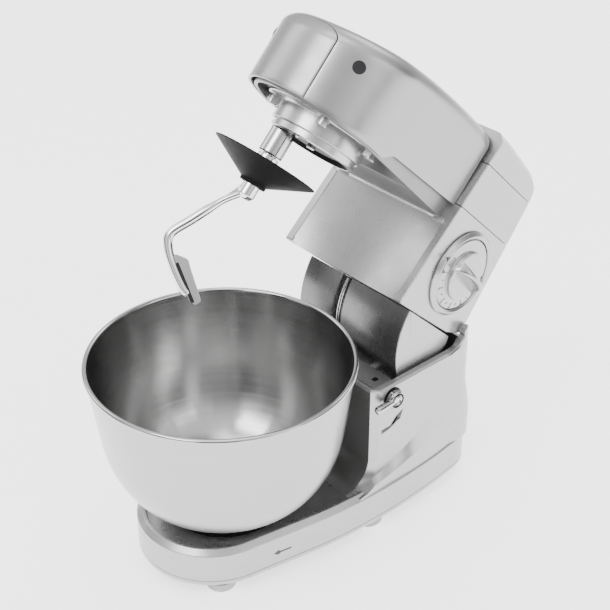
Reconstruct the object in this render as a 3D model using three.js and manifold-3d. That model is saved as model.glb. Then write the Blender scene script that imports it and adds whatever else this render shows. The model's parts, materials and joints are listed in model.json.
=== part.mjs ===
// Tilt-head stand mixer: planetary drive, 5 litre bowl and dough hook.
// Millimetres, +Z up. -Y is the front (bowl), +Y the rear (column), +X the speed dial's side.
// Every piece of the head is drawn with the head closed, and the head group is then tilted open.

import * as THREE from 'three'
import { mergeVertices } from 'three/addons/utils/BufferGeometryUtils.js'
import Module from 'manifold-3d'

const wasm = await Module()
wasm.setup()

// ---------------------------------------------------------------- driving dimensions
const TILT = 43 // degrees that the head is open at rest
const GAP = 0.35 // between pieces that touch
const RUN = 0.6 // running clearance round anything that turns

const HINGE = { y: 234, z: 168, pin: 4, barrel: 8.5, ear: 6.5, swing: 2.7 }
const FOOT = { height: 12, radius: 14 }
const BASE = { bottom: FOOT.height, rim: 51, noseR: 70, noseY: -15, rear: 252, wall: 3, recess: 3 }
const COLUMN = { half: 77.5, front: 113, rear: 242, topFront: 152.6, topRear: 155, wall: 8, chamfer: 7 }
const DRUM = { radius: 86, half: 67, wall: 3.5, from: 186, to: 252 }
const BOWL = { rim: 120, top: 204, bottom: 58, wall: 1.2, roll: 2.4, foot: 51, centre: 150, bulge: 70,
  flat: 40 }
const COLLAR = { outer: 56, inner: 31, bottom: 48.4, height: 4 }
const NECK = { half: 77.7, front: 115.9, bottom: 155.2, rear: 236.2, lean: 0.057, rearLean: 0.112,
  taper: 0.082,
  wall: 3, strip: 8.6 }
const HEAD = { half: 69.1, noseY: -6, noseLength: 74, top: 329, wall: 3, round: 15, noseSeam: -72 }
const SEAM = { lower: 256, upper: 300 }
const LIP = { inset: 6, rearZ: 238.6, slope: 0.06, plate: 255, thick: 3, plateEnd: 62 }
const RING = { radius: 42.5, bore: 40, bottom: 234, flange: 56, flangeTop: 254.6 }
const GEAR = { module: 2.25, ring: 32, planet: 8, main: 40, pinion: 8 }
const PULLEY = { large: 38, small: 10, z: 296, width: 10, belt: 2.2 }
const CHASSIS = { bottom: 266, thick: 4 }
const MOTOR = { y: 172, radius: 36, bottom: 172, height: 90, shaft: 3 }
const SPINDLE = { radius: 6, sleeve: 11.4, sleeveEnd: 204.6, tip: 170, angle: 220 }
const SHIELD = { radius: 48.5, rim: 197.5, apex: 178 }
const HOOK = { hubTop: 203.4, hub: 9.6, neck: 7.8, neckTop: 177, hubBottom: 161, bendZ: 104, tipZ: 63.5,
  rod: 4.6,
  reach: 38, tipReach: 12 }
const CROSS_PIN = { radius: 1.6, half: 9, z: 188 }
const DIAL = { y: 176.8, z: 208, bezel: 41.5, disc: 35, knob: 24, wing: 21, shaft: 4 }
const LEVER = { y: 134.5, z: 140.5, length: 27, boss: 9, shaft: 4, inner: 62.3 }
const INTERLOCK = { x: 59, y: 130, wide: 5, long: 6, top: 141.5 }
const BOLT = { x: 30, z: 137, radius: 4.5, length: 25, flange: 7, flangeBack: 14 }

// Gear centre distances follow from the tooth counts.
const ORBIT = (GEAR.module * (GEAR.ring - GEAR.planet)) / 2
const COUNTER_Y = (GEAR.module * (GEAR.main + GEAR.pinion)) / 2
const BOWL_RIM_CENTRE = BOWL.top - BOWL.roll

// ---------------------------------------------------------------- solids
function solid(geometry) {
  const bare = geometry.clone()
  bare.deleteAttribute('normal')
  bare.deleteAttribute('uv')
  const merged = mergeVertices(bare, 1e-4)
  const position = merged.attributes.position
  const triVerts = new Uint32Array(merged.index.array)
  if (signedVolume(position, triVerts) < 0) {
    for (let i = 0; i < triVerts.length; i += 3) {
      const swap = triVerts[i]
      triVerts[i] = triVerts[i + 1]
      triVerts[i + 1] = swap
    }
  }
  const vertProperties = new Float32Array(position.array)
  return new wasm.Manifold(new wasm.Mesh({ numProp: 3, vertProperties, triVerts }))
}

function signedVolume(position, index) {
  const a = new THREE.Vector3()
  const b = new THREE.Vector3()
  const c = new THREE.Vector3()
  let sum = 0
  for (let i = 0; i < index.length; i += 3) {
    a.fromBufferAttribute(position, index[i])
    b.fromBufferAttribute(position, index[i + 1])
    c.fromBufferAttribute(position, index[i + 2])
    sum += a.dot(b.cross(c))
  }
  return sum
}

// Cylinder along Z from z0 to z1 about (x, y).
function disc(radius, z0, z1, x = 0, y = 0, sides = 24) {
  const g = new THREE.CylinderGeometry(radius, radius, z1 - z0, sides)
  g.rotateX(Math.PI / 2)
  g.translate(x, y, (z0 + z1) / 2)
  return solid(g)
}

// Cylinder along X from x0 to x1 about (y, z).
function rodX(radius, x0, x1, y, z, sides = 20) {
  const g = new THREE.CylinderGeometry(radius, radius, x1 - x0, sides)
  g.rotateZ(Math.PI / 2)
  g.translate((x0 + x1) / 2, y, z)
  return solid(g)
}

// Cylinder along Y from y0 to y1 about (x, z).
function rodY(radius, y0, y1, x, z, sides = 16) {
  const g = new THREE.CylinderGeometry(radius, radius, y1 - y0, sides)
  g.translate(x, (y0 + y1) / 2, z)
  return solid(g)
}

function box(x0, x1, y0, y1, z0, z1) {
  const g = new THREE.BoxGeometry(x1 - x0, y1 - y0, z1 - z0)
  g.translate((x0 + x1) / 2, (y0 + y1) / 2, (z0 + z1) / 2)
  return solid(g)
}

// Solid of revolution about Z from [radius, z] points.
function turned(points, sides = 36, x = 0, y = 0) {
  const profile = points.map(([r, z]) => new THREE.Vector2(Math.max(r, 0), z))
  if (points[0][0] > 0) profile.push(profile[0].clone())
  const g = new THREE.LatheGeometry(profile, sides)
  g.rotateX(Math.PI / 2)
  g.translate(x, y, 0)
  return solid(g)
}

// Plan outline (x, y) raised from z0 to z1, both edges bevelled.
function raised(shape, z0, z1, bevel = 0, curveSegments = 3) {
  const g = new THREE.ExtrudeGeometry(shape, {
    depth: z1 - z0 - 2 * bevel, curveSegments, bevelEnabled: bevel > 0,
    bevelThickness: bevel, bevelSize: bevel, bevelOffset: -bevel, bevelSegments: bevel > 8 ? 3 : 1,
  })
  g.translate(0, 0, z0 + bevel)
  return solid(g)
}

// Side outline drawn as (y, z), carried across from x0 to x1.
function across(shape, x0, x1, bevel = 0, curveSegments = 6) {
  const g = new THREE.ExtrudeGeometry(shape, {
    depth: x1 - x0 - 2 * bevel, curveSegments, bevelEnabled: bevel > 0,
    bevelThickness: bevel, bevelSize: bevel, bevelOffset: -bevel, bevelSegments: 2,
  })
  // shape (u, v) and depth w become y, z and x
  g.applyMatrix4(new THREE.Matrix4().set(0, 0, 1, x0 + bevel, 1, 0, 0, 0, 0, 1, 0, 0, 0, 0, 0, 1))
  return solid(g)
}

function shapeOf(points) {
  return new THREE.Shape(points.map(([u, v]) => new THREE.Vector2(u, v)))
}

const material = (color, roughness,
  metalness) => new THREE.MeshStandardMaterial({ color, roughness, metalness })
const FINISH = {
  silver: () => material(0xc9cacb, 0.38, 0.6),
  shade: () => material(0x9c9d9f, 0.42, 0.6),
  steel: () => material(0xd6d7d8, 0.22, 1),
  chrome: () => material(0xe6e7e8, 0.08, 1),
  black: () => material(0x151515, 0.5, 0),
  dark: () => material(0x3a3a3c, 0.5, 0.3),
  rubber: () => material(0x8e8f90, 0.8, 0),
  brass: () => material(0xb5924c, 0.35, 1),
  nylon: () => material(0xe4e0d4, 0.55, 0),
  board: () => material(0x2e6b3e, 0.6, 0),
}

function place(group, name, manifold, finish) {
  const mesh = manifold.getMesh()
  const g = new THREE.BufferGeometry()
  g.setAttribute('position', new THREE.BufferAttribute(new Float32Array(mesh.vertProperties), 3))
  g.setIndex(new THREE.BufferAttribute(new Uint32Array(mesh.triVerts), 1))
  g.computeVertexNormals()
  const node = new THREE.Mesh(g, FINISH[finish]())
  node.name = name
  group.add(node)
}

const deg = THREE.MathUtils.degToRad
const polar = (radius, angle, x = 0, y = 0) => [x + radius * Math.cos(deg(angle)),
  y + radius * Math.sin(deg(angle))]

// ---------------------------------------------------------------- outlines
// Plan of the base: round nose, sides that swell towards the column, rounded rear corners.
function basePlan(inset = 0, rear = BASE.rear) {
  const nose = BASE.noseR - inset
  const side = [[77.5, 24], [82.5, 57], [85.2, 92], [86, 128], [84.6, 160], [82.4, 190], [79, 216]]
  const right = side.map(([x, y]) => new THREE.Vector2(x - inset, y))
  const left = side.map(([x, y]) => new THREE.Vector2(inset - x, y)).reverse()
  const s = new THREE.Shape()
  s.moveTo(0, BASE.noseY - nose)
  s.absarc(0, BASE.noseY, nose, -Math.PI / 2, deg(-6), false)
  s.splineThru(right)
  s.quadraticCurveTo(76 - inset, rear - inset, 50, rear - inset)
  s.lineTo(-50, rear - inset)
  s.quadraticCurveTo(inset - 76, rear - inset, left[0].x, left[0].y)
  s.splineThru(left.slice(1))
  s.lineTo(...polar(nose, 186, 0, BASE.noseY))
  s.absarc(0, BASE.noseY, nose, deg(186), deg(270), false)
  return s
}

// Plan of the column: chamfered front corners and rounded rear ones.
function columnPlan(inset = 0) {
  const half = COLUMN.half - inset
  const front = COLUMN.front + inset
  const rear = COLUMN.rear - inset
  const c = COLUMN.chamfer
  const r = 18
  const s = new THREE.Shape()
  s.moveTo(-half + c, front)
  s.lineTo(half - c, front)
  s.lineTo(half, front + c)
  s.lineTo(half, rear - r)
  s.quadraticCurveTo(half, rear, half - r, rear)
  s.lineTo(r - half, rear)
  s.quadraticCurveTo(-half, rear, -half, rear - r)
  s.lineTo(-half, front + c)
  return s
}

// Side view of the column with the hinge ear at its rear top.
function columnSide() {
  const s = new THREE.Shape()
  s.moveTo(COLUMN.front, BASE.rim - 6)
  s.lineTo(COLUMN.front, COLUMN.topFront - 3)
  s.lineTo(COLUMN.front + 3, COLUMN.topFront)
  s.lineTo(212, COLUMN.topRear)
  const ear = HINGE.ear
  s.lineTo(...polar(ear + 4, 225, HINGE.y, HINGE.z))
  s.absarc(HINGE.y, HINGE.z, ear, deg(190), deg(-20), true)
  s.lineTo(COLUMN.rear, 150)
  s.lineTo(COLUMN.rear, BASE.rim - 6)
  return s
}

// Flared skirt below the crease that climbs along the column's side.
function skirtSide() {
  return shapeOf([[98, 42], [128, 62], [182, 89], [224, 106], [236, 110], [250, 84], [BASE.rear, 70],
    [BASE.rear, 30], [98, 30]])
}

// Concave sweep from the tray up to the column's front.
function sweepSide() {
  const r = 26
  const s = new THREE.Shape()
  s.moveTo(COLUMN.front + 6, BASE.rim - 8)
  s.lineTo(COLUMN.front - r, BASE.rim - 8)
  s.lineTo(COLUMN.front - r, BASE.rim)
  s.absarc(COLUMN.front - r, BASE.rim + r, r, deg(-90), 0, false)
  s.lineTo(COLUMN.front + 6, BASE.rim + r)
  return s
}

// Plan of the head's cover: straight sides and an elliptical nose.
function headPlan(inset = 0, rear = NECK.front) {
  const half = HEAD.half - inset
  const length = HEAD.noseLength - inset
  const s = new THREE.Shape()
  s.moveTo(half, rear)
  s.lineTo(half, HEAD.noseY)
  s.absellipse(0, HEAD.noseY, half, length, 0, Math.PI, true, 0)
  s.lineTo(-half, rear)
  return s
}

const lipZ = (y) => LIP.rearZ + (NECK.front - y) * LIP.slope
const neckFront = (z) => NECK.front + (z - NECK.bottom) * NECK.lean
const neckRear = (z) => NECK.rear - (z - NECK.bottom) * NECK.rearLean
const neckHalf = (y) => NECK.half - (y - NECK.front) * NECK.taper

// Plan of the neck block, which narrows towards the hinge.
function neckPlan(inset = 0) {
  const y0 = NECK.front - 20
  const y1 = NECK.rear + 20
  const near = neckHalf(y0) - inset
  const far = neckHalf(y1) - inset
  return shapeOf([[-near, y0], [near, y0], [far, y1], [-far, y1]])
}

// Block between two heights from the neck's side outline and its tapering plan.
function neckBlock(side, inset = 0) {
  return across(side, -NECK.half - 9, NECK.half + 9).intersect(raised(neckPlan(inset), 100, 400))
}

// Side view of the cover: crowned top, lower edge with the finger recess.
function coverSide(inset = 0) {
  const front = HEAD.noseY - HEAD.noseLength - 5
  const rear = neckFront(SEAM.lower) - GAP + inset * 4
  const s = new THREE.Shape()
  s.moveTo(front, lipZ(front) + 1 - inset * 20)
  s.lineTo(front, 317 - inset)
  s.quadraticCurveTo(25, 335.5 - inset, rear, 327.5 - inset)
  s.lineTo(rear, 254 - inset * 20)
  s.lineTo(19, 254 - inset * 20)
  s.bezierCurveTo(12, 254 - inset * 20, 10, lipZ(6) + 1 - inset * 20, 2, lipZ(2) + 1 - inset * 20)
  return s
}

// ---------------------------------------------------------------- base and column
const hubTop = COLLAR.bottom + COLLAR.height - 1
const trayFloor = BASE.rim - BASE.recess

function drumOpening(z0, z1) {
  return box(-DRUM.half - 2.5, DRUM.half + 2.5, 142.5, HINGE.y - 7, z0, z1)
}

function baseShell() {
  const body = raised(basePlan(), BASE.bottom, BASE.rim, 4)
  const column = across(columnSide(), -COLUMN.half, COLUMN.half).intersect(raised(columnPlan(), 20, 190))
  const skirt = across(skirtSide(), -92, 92).intersect(raised(basePlan(1), 20, 120))
  const sweep = across(sweepSide(), -COLUMN.half + 1, COLUMN.half - 1)
  const hub = disc(COLLAR.inner - RUN, trayFloor - 2, hubTop)
  const tray = raised(basePlan(8), trayFloor, BASE.rim + 20)
    .subtract(box(-90, 90, COLUMN.front - 26, 300, 0, 90))
  const inner = raised(basePlan(BASE.wall), BASE.bottom - 1, trayFloor - BASE.wall)
  const w = COLUMN.wall
  const innerColumn = box(-COLUMN.half + w, COLUMN.half - w, COLUMN.front + 5, COLUMN.rear - 5, 30,
    COLUMN.topFront - 4)
  const barrelRoom = rodX(HINGE.barrel + HINGE.swing, -DRUM.half - 2.5, DRUM.half + 2.5, HINGE.y, HINGE.z)
  const rearRoom = box(-DRUM.half - 2.5, DRUM.half + 2.5, HINGE.y - 8, COLUMN.rear + 5, HINGE.z - 4, 190)
  const pinHole = rodX(HINGE.pin + GAP, -73, 73, HINGE.y, HINGE.z)
  const plateSeat = box(-66, 66, COLUMN.front + 5, 143, COLUMN.topFront - 2.2, COLUMN.topFront + 2)
  const leverHole = rodX(LEVER.shaft + RUN, 60, 90, LEVER.y, LEVER.z)
  const slot = interlockHole(100, 160, 0.5)
  return body.add(column).add(skirt).add(sweep).subtract(tray).add(hub)
    .subtract(inner).subtract(innerColumn).subtract(drumOpening(120, 200))
    .subtract(barrelRoom).subtract(rearRoom).subtract(pinHole).subtract(plateSeat).subtract(leverHole)
    .subtract(slot).subtract(disc(3, 20, 60))
}

function basePlate() {
  const plate = raised(basePlan(BASE.wall + GAP), BASE.bottom, BASE.bottom + 2.5)
  let out = plate
  for (const [x, y] of FOOT_PLACES) out = out.subtract(disc(5 + GAP, 0, 30, x, y, 20))
  for (const [x, y] of SCREW_PLACES) out = out.subtract(disc(2.4, 0, 30, x, y, 12))
  return out
}

const FOOT_PLACES = [[47, -44], [-47, -44], [69, 116], [-69, 116], [50, 222], [-50, 222]]
const SCREW_PLACES = [[0, -68], [0, 238]]

function foot(x, y) {
  const r = FOOT.radius
  const top = BASE.bottom - GAP
  return turned([[0, 0], [r - 4, 0], [r - 1, 1.5], [r, 5], [r, top], [5, top], [5, BASE.bottom + 6],
    [0, BASE.bottom + 6]], 18, x, y)
}

function plateScrew(x, y) {
  const top = BASE.bottom + 12
  const head = BASE.bottom - GAP
  return turned([[0, head - 2.2], [4, head - 2.2], [4, head], [2, head], [2, top], [0, top]], 16, x, y)
}

function interlockHole(z0, z1, grow) {
  const { x, y, wide, long } = INTERLOCK
  return box(x - wide / 2 - grow, x + wide / 2 + grow, y - long / 2 - grow, y + long / 2 + grow, z0, z1)
}

function columnTopPlate() {
  const z = COLUMN.topFront
  return box(-66 + GAP, 66 - GAP, COLUMN.front + 5 + GAP, 142.2, z - 1.8, z + 0.2)
    .subtract(interlockHole(100, 160, 0))
}

// ---------------------------------------------------------------- bowl
// Outer wall: an elliptical quarter up to 80 degrees, then its tangent up to the rim.
function bowlOuter(t) {
  const a = deg(t)
  return [BOWL.flat + BOWL.bulge * Math.sin(a), BOWL.centre - (BOWL.centre - BOWL.bottom) * Math.cos(a)]
}

function bowl() {
  const outer = []
  for (let t = 10; t <= 80; t += 14) outer.push(bowlOuter(t))
  const [r0, z0] = outer[outer.length - 1]
  const slope = BOWL.bulge / (Math.tan(deg(80)) * (BOWL.centre - BOWL.bottom))
  const rimR = r0 + slope * (BOWL_RIM_CENTRE - z0)
  outer.push([rimR - 0.2, BOWL_RIM_CENTRE - 2])
  const roll = []
  const centre = BOWL.rim - BOWL.roll
  for (let a = -60; a <= 150; a += 70) roll.push(polar(BOWL.roll, a, centre, BOWL_RIM_CENTRE))
  const inner = outer.map(([r, z]) => [r - BOWL.wall, z + BOWL.wall * 0.7]).reverse()
  return turned([[0, BOWL.bottom], [BOWL.flat, BOWL.bottom], ...outer, ...roll, ...inner,
    [BOWL.flat, BOWL.bottom + BOWL.wall], [0, BOWL.bottom + BOWL.wall]], 36)
}

function bowlFoot() {
  const low = COLLAR.bottom + COLLAR.height + GAP
  const r = BOWL.foot
  return turned([[r - 12, low], [r, low], [r, low + 2], [r - 1.5, low + 2],
    [r - 1.5, BOWL.bottom + 1.1 - GAP],
    [r - 12, BOWL.bottom - GAP]], 36)
}

function bowlCollar() {
  const z = COLLAR.bottom
  return turned([[COLLAR.inner, z], [COLLAR.outer, z], [COLLAR.outer, z + COLLAR.height - 1],
    [COLLAR.outer - 1, z + COLLAR.height], [COLLAR.inner + 4, z + COLLAR.height], [COLLAR.inner + 4, z + 2],
    [COLLAR.inner, z + 2]], 30)
}

function collarRetainer() {
  return turned([[3.4, hubTop + GAP], [COLLAR.inner + 2, hubTop + GAP], [COLLAR.inner + 2, hubTop + 1.8],
    [3.4, hubTop + 1.8]], 28)
}

function retainerScrew() {
  const z = hubTop + 1.8 + GAP
  return turned([[0, z - 9], [2.6, z - 9], [2.6, z], [6, z], [5, z + 1.6], [0, z + 1.6]], 20)
}

// ---------------------------------------------------------------- hinge, drum and lock
function pie(radius, from, to) {
  const s = new THREE.Shape()
  s.moveTo(HINGE.y, HINGE.z)
  s.absarc(HINGE.y, HINGE.z, radius, deg(from), deg(to), false)
  return s
}

function drum() {
  const { radius, half, wall, from, to } = DRUM
  const body = across(pie(radius, from, to), -half, half, 0, 12)
  const room = across(pie(radius - wall, from - 20, to + 40), -half + wall, half - wall, 0, 12)
  const groove = across(pie(radius + 5, from - 5, to + 5), -21, -9, 0, 12)
    .subtract(rodX(radius - 6, -30, 0, HINGE.y, HINGE.z, 48))
  const back = across(pie(radius - 2, from, to), -24, -6, 0, 12)
    .subtract(rodX(radius - 9, -30, 0, HINGE.y, HINGE.z, 48))
  return body.subtract(room).add(back).subtract(groove).subtract(box(-90, 90, 0, 400, NECK.bottom - GAP, 400))
}

// Bright guide rod that lies along the drum's groove.
function drumRod() {
  const r = DRUM.radius - 3
  const points = []
  for (let a = DRUM.from + 6; a <= DRUM.to - 6; a += 6) {
    const [y, z] = polar(r, a, HINGE.y, HINGE.z)
    points.push(new THREE.Vector3(-15, y, z))
  }
  return tube(points, 2, 8, 16)
}

function tube(points, radius, sides, steps) {
  const section = new THREE.Shape()
  for (let i = 0; i < sides; i += 1) {
    const [u, v] = polar(radius, (360 * i) / sides)
    if (i === 0) section.moveTo(u, v)
    else section.lineTo(u, v)
  }
  const path = new THREE.CatmullRomCurve3(points)
  return solid(new THREE.ExtrudeGeometry(section, { steps, extrudePath: path, bevelEnabled: false }))
}

function hingePin() {
  return rodX(HINGE.pin, -72, 72, HINGE.y, HINGE.z)
}

function lockLever() {
  const { y, z, boss, length } = LEVER
  const x = COLUMN.half + GAP
  const cap = rodX(boss, x, x + 7, y, z)
  const handle = rodY(4, y - length, y - 2, x + 6.5, z)
  const shaft = rodX(LEVER.shaft, LEVER.inner, x + 3, y, z)
  return cap.add(handle).add(shaft).subtract(rodX(3.6, x + 5, x + 9, y, z, 16))
}

function leverScrew() {
  const x = COLUMN.half + GAP
  return rodX(3.1, x + 5 + GAP, x + 6.6, LEVER.y, LEVER.z, 16)
}

function lockCam() {
  const { y, z, inner, shaft } = LEVER
  const x = inner + 0.7
  return rodX(7.5, x, x + 4, y, z).add(box(x, x + 4, y - 2, y + 2, z - 12, z))
    .subtract(rodX(shaft + GAP, 50, 70, y, z))
}

// Spring bolt that drops in front of the drum; its tip stays clear of the drum at rest.
const BOLT_SEAT = COLUMN.front + 9
const BOLT_TIP = HINGE.y - Math.sqrt(DRUM.radius ** 2 - (HINGE.z - BOLT.z - BOLT.radius) ** 2) - RUN
function lockBolt() {
  const { x, z, radius, length, flange, flangeBack } = BOLT
  const y = BOLT_TIP - flangeBack
  return rodY(radius, BOLT_TIP - length, BOLT_TIP, x, z).add(rodY(flange, y, y + 2, x, z))
}

function boltGuide() {
  const { x, z, radius, flange } = BOLT
  const y = COLUMN.front + 5 + GAP
  return box(x - 10, x + 10, y, y + 15, z - 10, z + 10).subtract(rodY(radius + RUN, y - 5, 200, x, z))
    .subtract(rodY(flange + RUN, BOLT_SEAT, 200, x, z))
}

// Coil spring round the bolt, from its seat in the guide to the bolt's flange.
function boltSpring() {
  const points = []
  const turns = 4
  const perTurn = 8
  const wire = 0.7
  const y0 = BOLT_SEAT + wire + GAP
  const span = BOLT_TIP - BOLT.flangeBack - wire - GAP - y0
  for (let i = 0; i <= turns * perTurn; i += 1) {
    const [x, z] = polar(BOLT.radius + 1.6, (i * 360) / perTurn, BOLT.x, BOLT.z)
    points.push(new THREE.Vector3(x, y0 + (span * i) / (turns * perTurn), z))
  }
  return tube(points, wire, 5, turns * perTurn)
}

function interlockSwitch() {
  const { x, y, top } = INTERLOCK
  return box(x - 10, x + 2.5, y - 9, y + 9, top - 22, top)
    .subtract(box(x - 2, x + 2, y - 2.5, y + 2.5, top - 5, top + 1))
}

function interlockPlunger() {
  const { x, y, top } = INTERLOCK
  return box(x - 1.5, x + 1.5, y - 2, y + 2, top + GAP, COLUMN.topFront - 2.4)
}

// ---------------------------------------------------------------- head casings
function blockSide(z0, z1, inset = 0) {
  return shapeOf([[neckFront(z0) + inset, z0], [neckRear(z0) - inset, z0], [neckRear(z1) - inset, z1],
    [neckFront(z1) + inset, z1]])
}

// Conical scoop that keeps the neck clear of the bowl's rim.
function scoop() {
  return turned([[0, 130], [129.9, 130], [123.2, lipZ(120)], [0, lipZ(120)]], 90)
}

function earRoom() {
  const r = HINGE.barrel + HINGE.swing
  return rodX(r, DRUM.half + 1, 90, HINGE.y, HINGE.z).add(rodX(r, -90, -DRUM.half - 1, HINGE.y, HINGE.z))
    .add(box(DRUM.half + 1, 90, 212, 260, 100, HINGE.z)).add(box(-90, -DRUM.half - 1, 212, 260, 100, HINGE.z))
}

function lowerCasing() {
  const t = NECK.wall
  const low = shapeOf([[NECK.front, NECK.bottom], [212, NECK.bottom + 1.6], [226, HINGE.z - 7.5],
    [neckRear(164), 164],
    [neckRear(SEAM.lower), SEAM.lower - GAP], [neckFront(SEAM.lower), SEAM.lower - GAP]])
  const room = shapeOf([[neckFront(159) + 10, 159], [210, 159], [210, 178], [neckRear(178) - 4, 178],
    [neckRear(280) - 4, 280], [neckFront(280) + 10, 280]])
  const block = neckBlock(low)
  const blockRoom = neckBlock(room, t)
  const pan = raised(headPlan(LIP.inset, neckFront(SEAM.lower) + 2), 230, SEAM.lower + 4)
    .intersect(across(shapeOf([[-90, lipZ(-90)], [neckFront(240) + 6, lipZ(120)], [neckFront(240) + 6, 264],
      [-90, 264]]), -90, 90))
  const panRoom = raised(headPlan(LIP.inset + t, 125), LIP.plate + LIP.thick, 290)
    .intersect(box(-90, 90, -90, neckFront(258) + 12, 200, 300))
  const rearPanRoom = raised(headPlan(LIP.inset + t, 130), lipZ(LIP.plateEnd) + 7, 290)
    .intersect(box(-90, 90, LIP.plateEnd + 6, neckFront(258) + 12, 200, 300))
  const recess = raised(headPlan(LIP.inset + t), 200, LIP.plate)
    .intersect(box(-90, 90, -90, LIP.plateEnd, 200, 300))
  const barrel = rodX(HINGE.barrel, -DRUM.half + DRUM.wall + 1, DRUM.half - DRUM.wall - 1, HINGE.y, HINGE.z)
  return block.add(pan).add(barrel).subtract(blockRoom).subtract(panRoom).subtract(rearPanRoom)
    .subtract(recess).subtract(disc(RING.radius + 1, 200, 300)).subtract(scoop()).subtract(earRoom())
    .subtract(rodX(HINGE.pin + GAP, -90, 90, HINGE.y, HINGE.z))
    .subtract(onSide(rodX(DIAL.shaft + RUN, -20, 20, 0, 0)))
}

function rearPanel() {
  const z0 = SEAM.lower
  const z1 = SEAM.upper
  const mouth = NECK.half - NECK.strip
  return neckBlock(blockSide(z0, z1)).subtract(neckBlock(blockSide(z0 - 5, z1 + 5, NECK.wall + 1), NECK.wall))
    .subtract(box(-mouth - GAP, mouth + GAP, 90, 150, z0 - 5, z1 + 5))
}

function rearTopCover() {
  const side = new THREE.Shape()
  side.moveTo(neckFront(SEAM.upper), SEAM.upper + GAP)
  side.lineTo(neckRear(SEAM.upper), SEAM.upper + GAP)
  side.lineTo(neckRear(314), 314)
  side.quadraticCurveTo(neckRear(320), 322.5, 206, 323.8)
  side.quadraticCurveTo(160, 329.5, neckFront(330), 330.5)
  const outer = neckBlock(side).intersect(raised(neckPlan(), 250, 331, 9))
  return outer.subtract(neckBlock(blockSide(SEAM.upper - 5, 320, NECK.wall + 1), NECK.wall + 2))
    .subtract(box(-HEAD.half - GAP, HEAD.half + GAP, 90, 135, 250, 324))
}

function coverSolid(inset) {
  const rear = neckFront(330) + 2 + inset * 4
  return raised(headPlan(inset, rear), 180, HEAD.top + 1 - inset, HEAD.round, 7)
    .intersect(across(coverSide(inset), -90, 90, 0, 6))
}

function upperCover() {
  const screwBoss = rodX(7 + GAP, -90, 90, -52, 292)
  return coverSolid(0).subtract(coverSolid(HEAD.wall))
    .intersect(box(-90, 90, HEAD.noseSeam + GAP, neckFront(SEAM.lower) - GAP, 200, 400))
    .subtract(screwBoss)
}

function noseCover() {
  return coverSolid(0).subtract(coverSolid(HEAD.wall)).intersect(box(-90, 90, -120, HEAD.noseSeam, 200, 400))
}

function sidePlug(side) {
  const x = 47.5
  const g = new THREE.SphereGeometry(6.4, 16, 8)
  g.scale(0.8, 1, 1)
  g.rotateZ(deg(-39))
  g.translate(x, -52, 292)
  const dome = solid(g)
  return side > 0 ? dome : dome.mirror([1, 0, 0])
}

// ---------------------------------------------------------------- speed dial
// The dial's pieces are drawn on the X axis from the panel's surface outwards, then set on the neck's side.
function onSide(piece) {
  const turn = THREE.MathUtils.radToDeg(Math.atan(NECK.taper))
  return piece.rotate([0, 0, turn]).translate([neckHalf(DIAL.y), DIAL.y, DIAL.z])
}

function dialBezel() {
  const x = GAP
  const ring = turnedX([[DIAL.disc + RUN, x], [DIAL.bezel, x], [DIAL.bezel - 1, x + 3],
    [DIAL.bezel - 4, x + 5], [DIAL.disc + RUN, x + 3.5]])
  return onSide(ring)
}

function turnedX(points, sides = 30) {
  const profile = points.map(([r, h]) => new THREE.Vector2(r, h))
  if (points[0][0] > 0) profile.push(profile[0].clone())
  const g = new THREE.LatheGeometry(profile, sides)
  g.rotateZ(-Math.PI / 2)
  return solid(g)
}

function speedDial() {
  const x = RUN
  const r = DIAL.disc
  const k = DIAL.knob
  const plate = turnedX([[0, x], [r, x], [r, x + 2.5], [r - 2, x + 4], [k, x + 4.5], [k - 2, x + 6],
    [0, x + 6]])
  const wing = new THREE.Shape()
  wing.moveTo(1 - k, x + 5)
  wing.absellipse(0, x + 5, k - 1, DIAL.wing, Math.PI, 0, true)
  const g = new THREE.ExtrudeGeometry(wing, { depth: 7, curveSegments: 5, bevelEnabled: false })
  g.translate(0, 0, -3.5)
  // outline (u, v) becomes the dial's own plane: u along the wing, v outwards
  g.applyMatrix4(new THREE.Matrix4().set(0, 1, 0, 0, 1, 0, 0, 0, 0, 0, 1, 0, 0, 0, 0, 1))
  g.rotateX(deg(-8))
  return onSide(plate.add(solid(g)).add(rodX(DIAL.shaft, -NECK.wall - 3, x + 2, 0, 0)))
}

function speedSwitch() {
  const half = 14
  return onSide(box(-22, -NECK.wall - 3 - GAP, -half, half, -half, half))
}

// ---------------------------------------------------------------- motor and gear train
// Gear with short straight-flanked teeth that stop shy of the mating roots.
function gear(teeth, z0, z1, x, y, bore, phase = 0) {
  const pitch = (GEAR.module * teeth) / 2
  const s = new THREE.Shape()
  for (let i = 0; i < teeth; i += 1) {
    const step = 360 / teeth
    const corners = [[-0.42, -1], [-0.2, -0.1], [0.2, -0.1], [0.42, -1]]
    for (const [share, lift] of corners) {
      const p = polar(pitch + lift, phase + step * (i + share))
      if (i === 0 && share === -0.42) s.moveTo(...p)
      else s.lineTo(...p)
    }
  }
  const blank = raised(s, z0, z1).subtract(disc(bore, z0 - 1, z1 + 1))
  return blank.translate([x, y, 0])
}

function ringGear() {
  const pitch = (GEAR.module * GEAR.ring) / 2
  const s = new THREE.Shape()
  s.absarc(0, 0, RING.bore - GAP, 0, 2 * Math.PI, false)
  const hole = new THREE.Path()
  for (let i = 0; i < GEAR.ring; i += 1) {
    const step = 360 / GEAR.ring
    for (const [share, lift] of [[-0.42, 1.6], [-0.2, 0.5], [0.2, 0.5], [0.42, 1.6]]) {
      const p = polar(pitch + lift, step * (i + share))
      if (i === 0 && share === -0.42) hole.moveTo(...p)
      else hole.lineTo(...p)
    }
  }
  hole.closePath()
  s.holes.push(hole)
  return raised(s, 238, 246, 0, 18)
}

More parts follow.
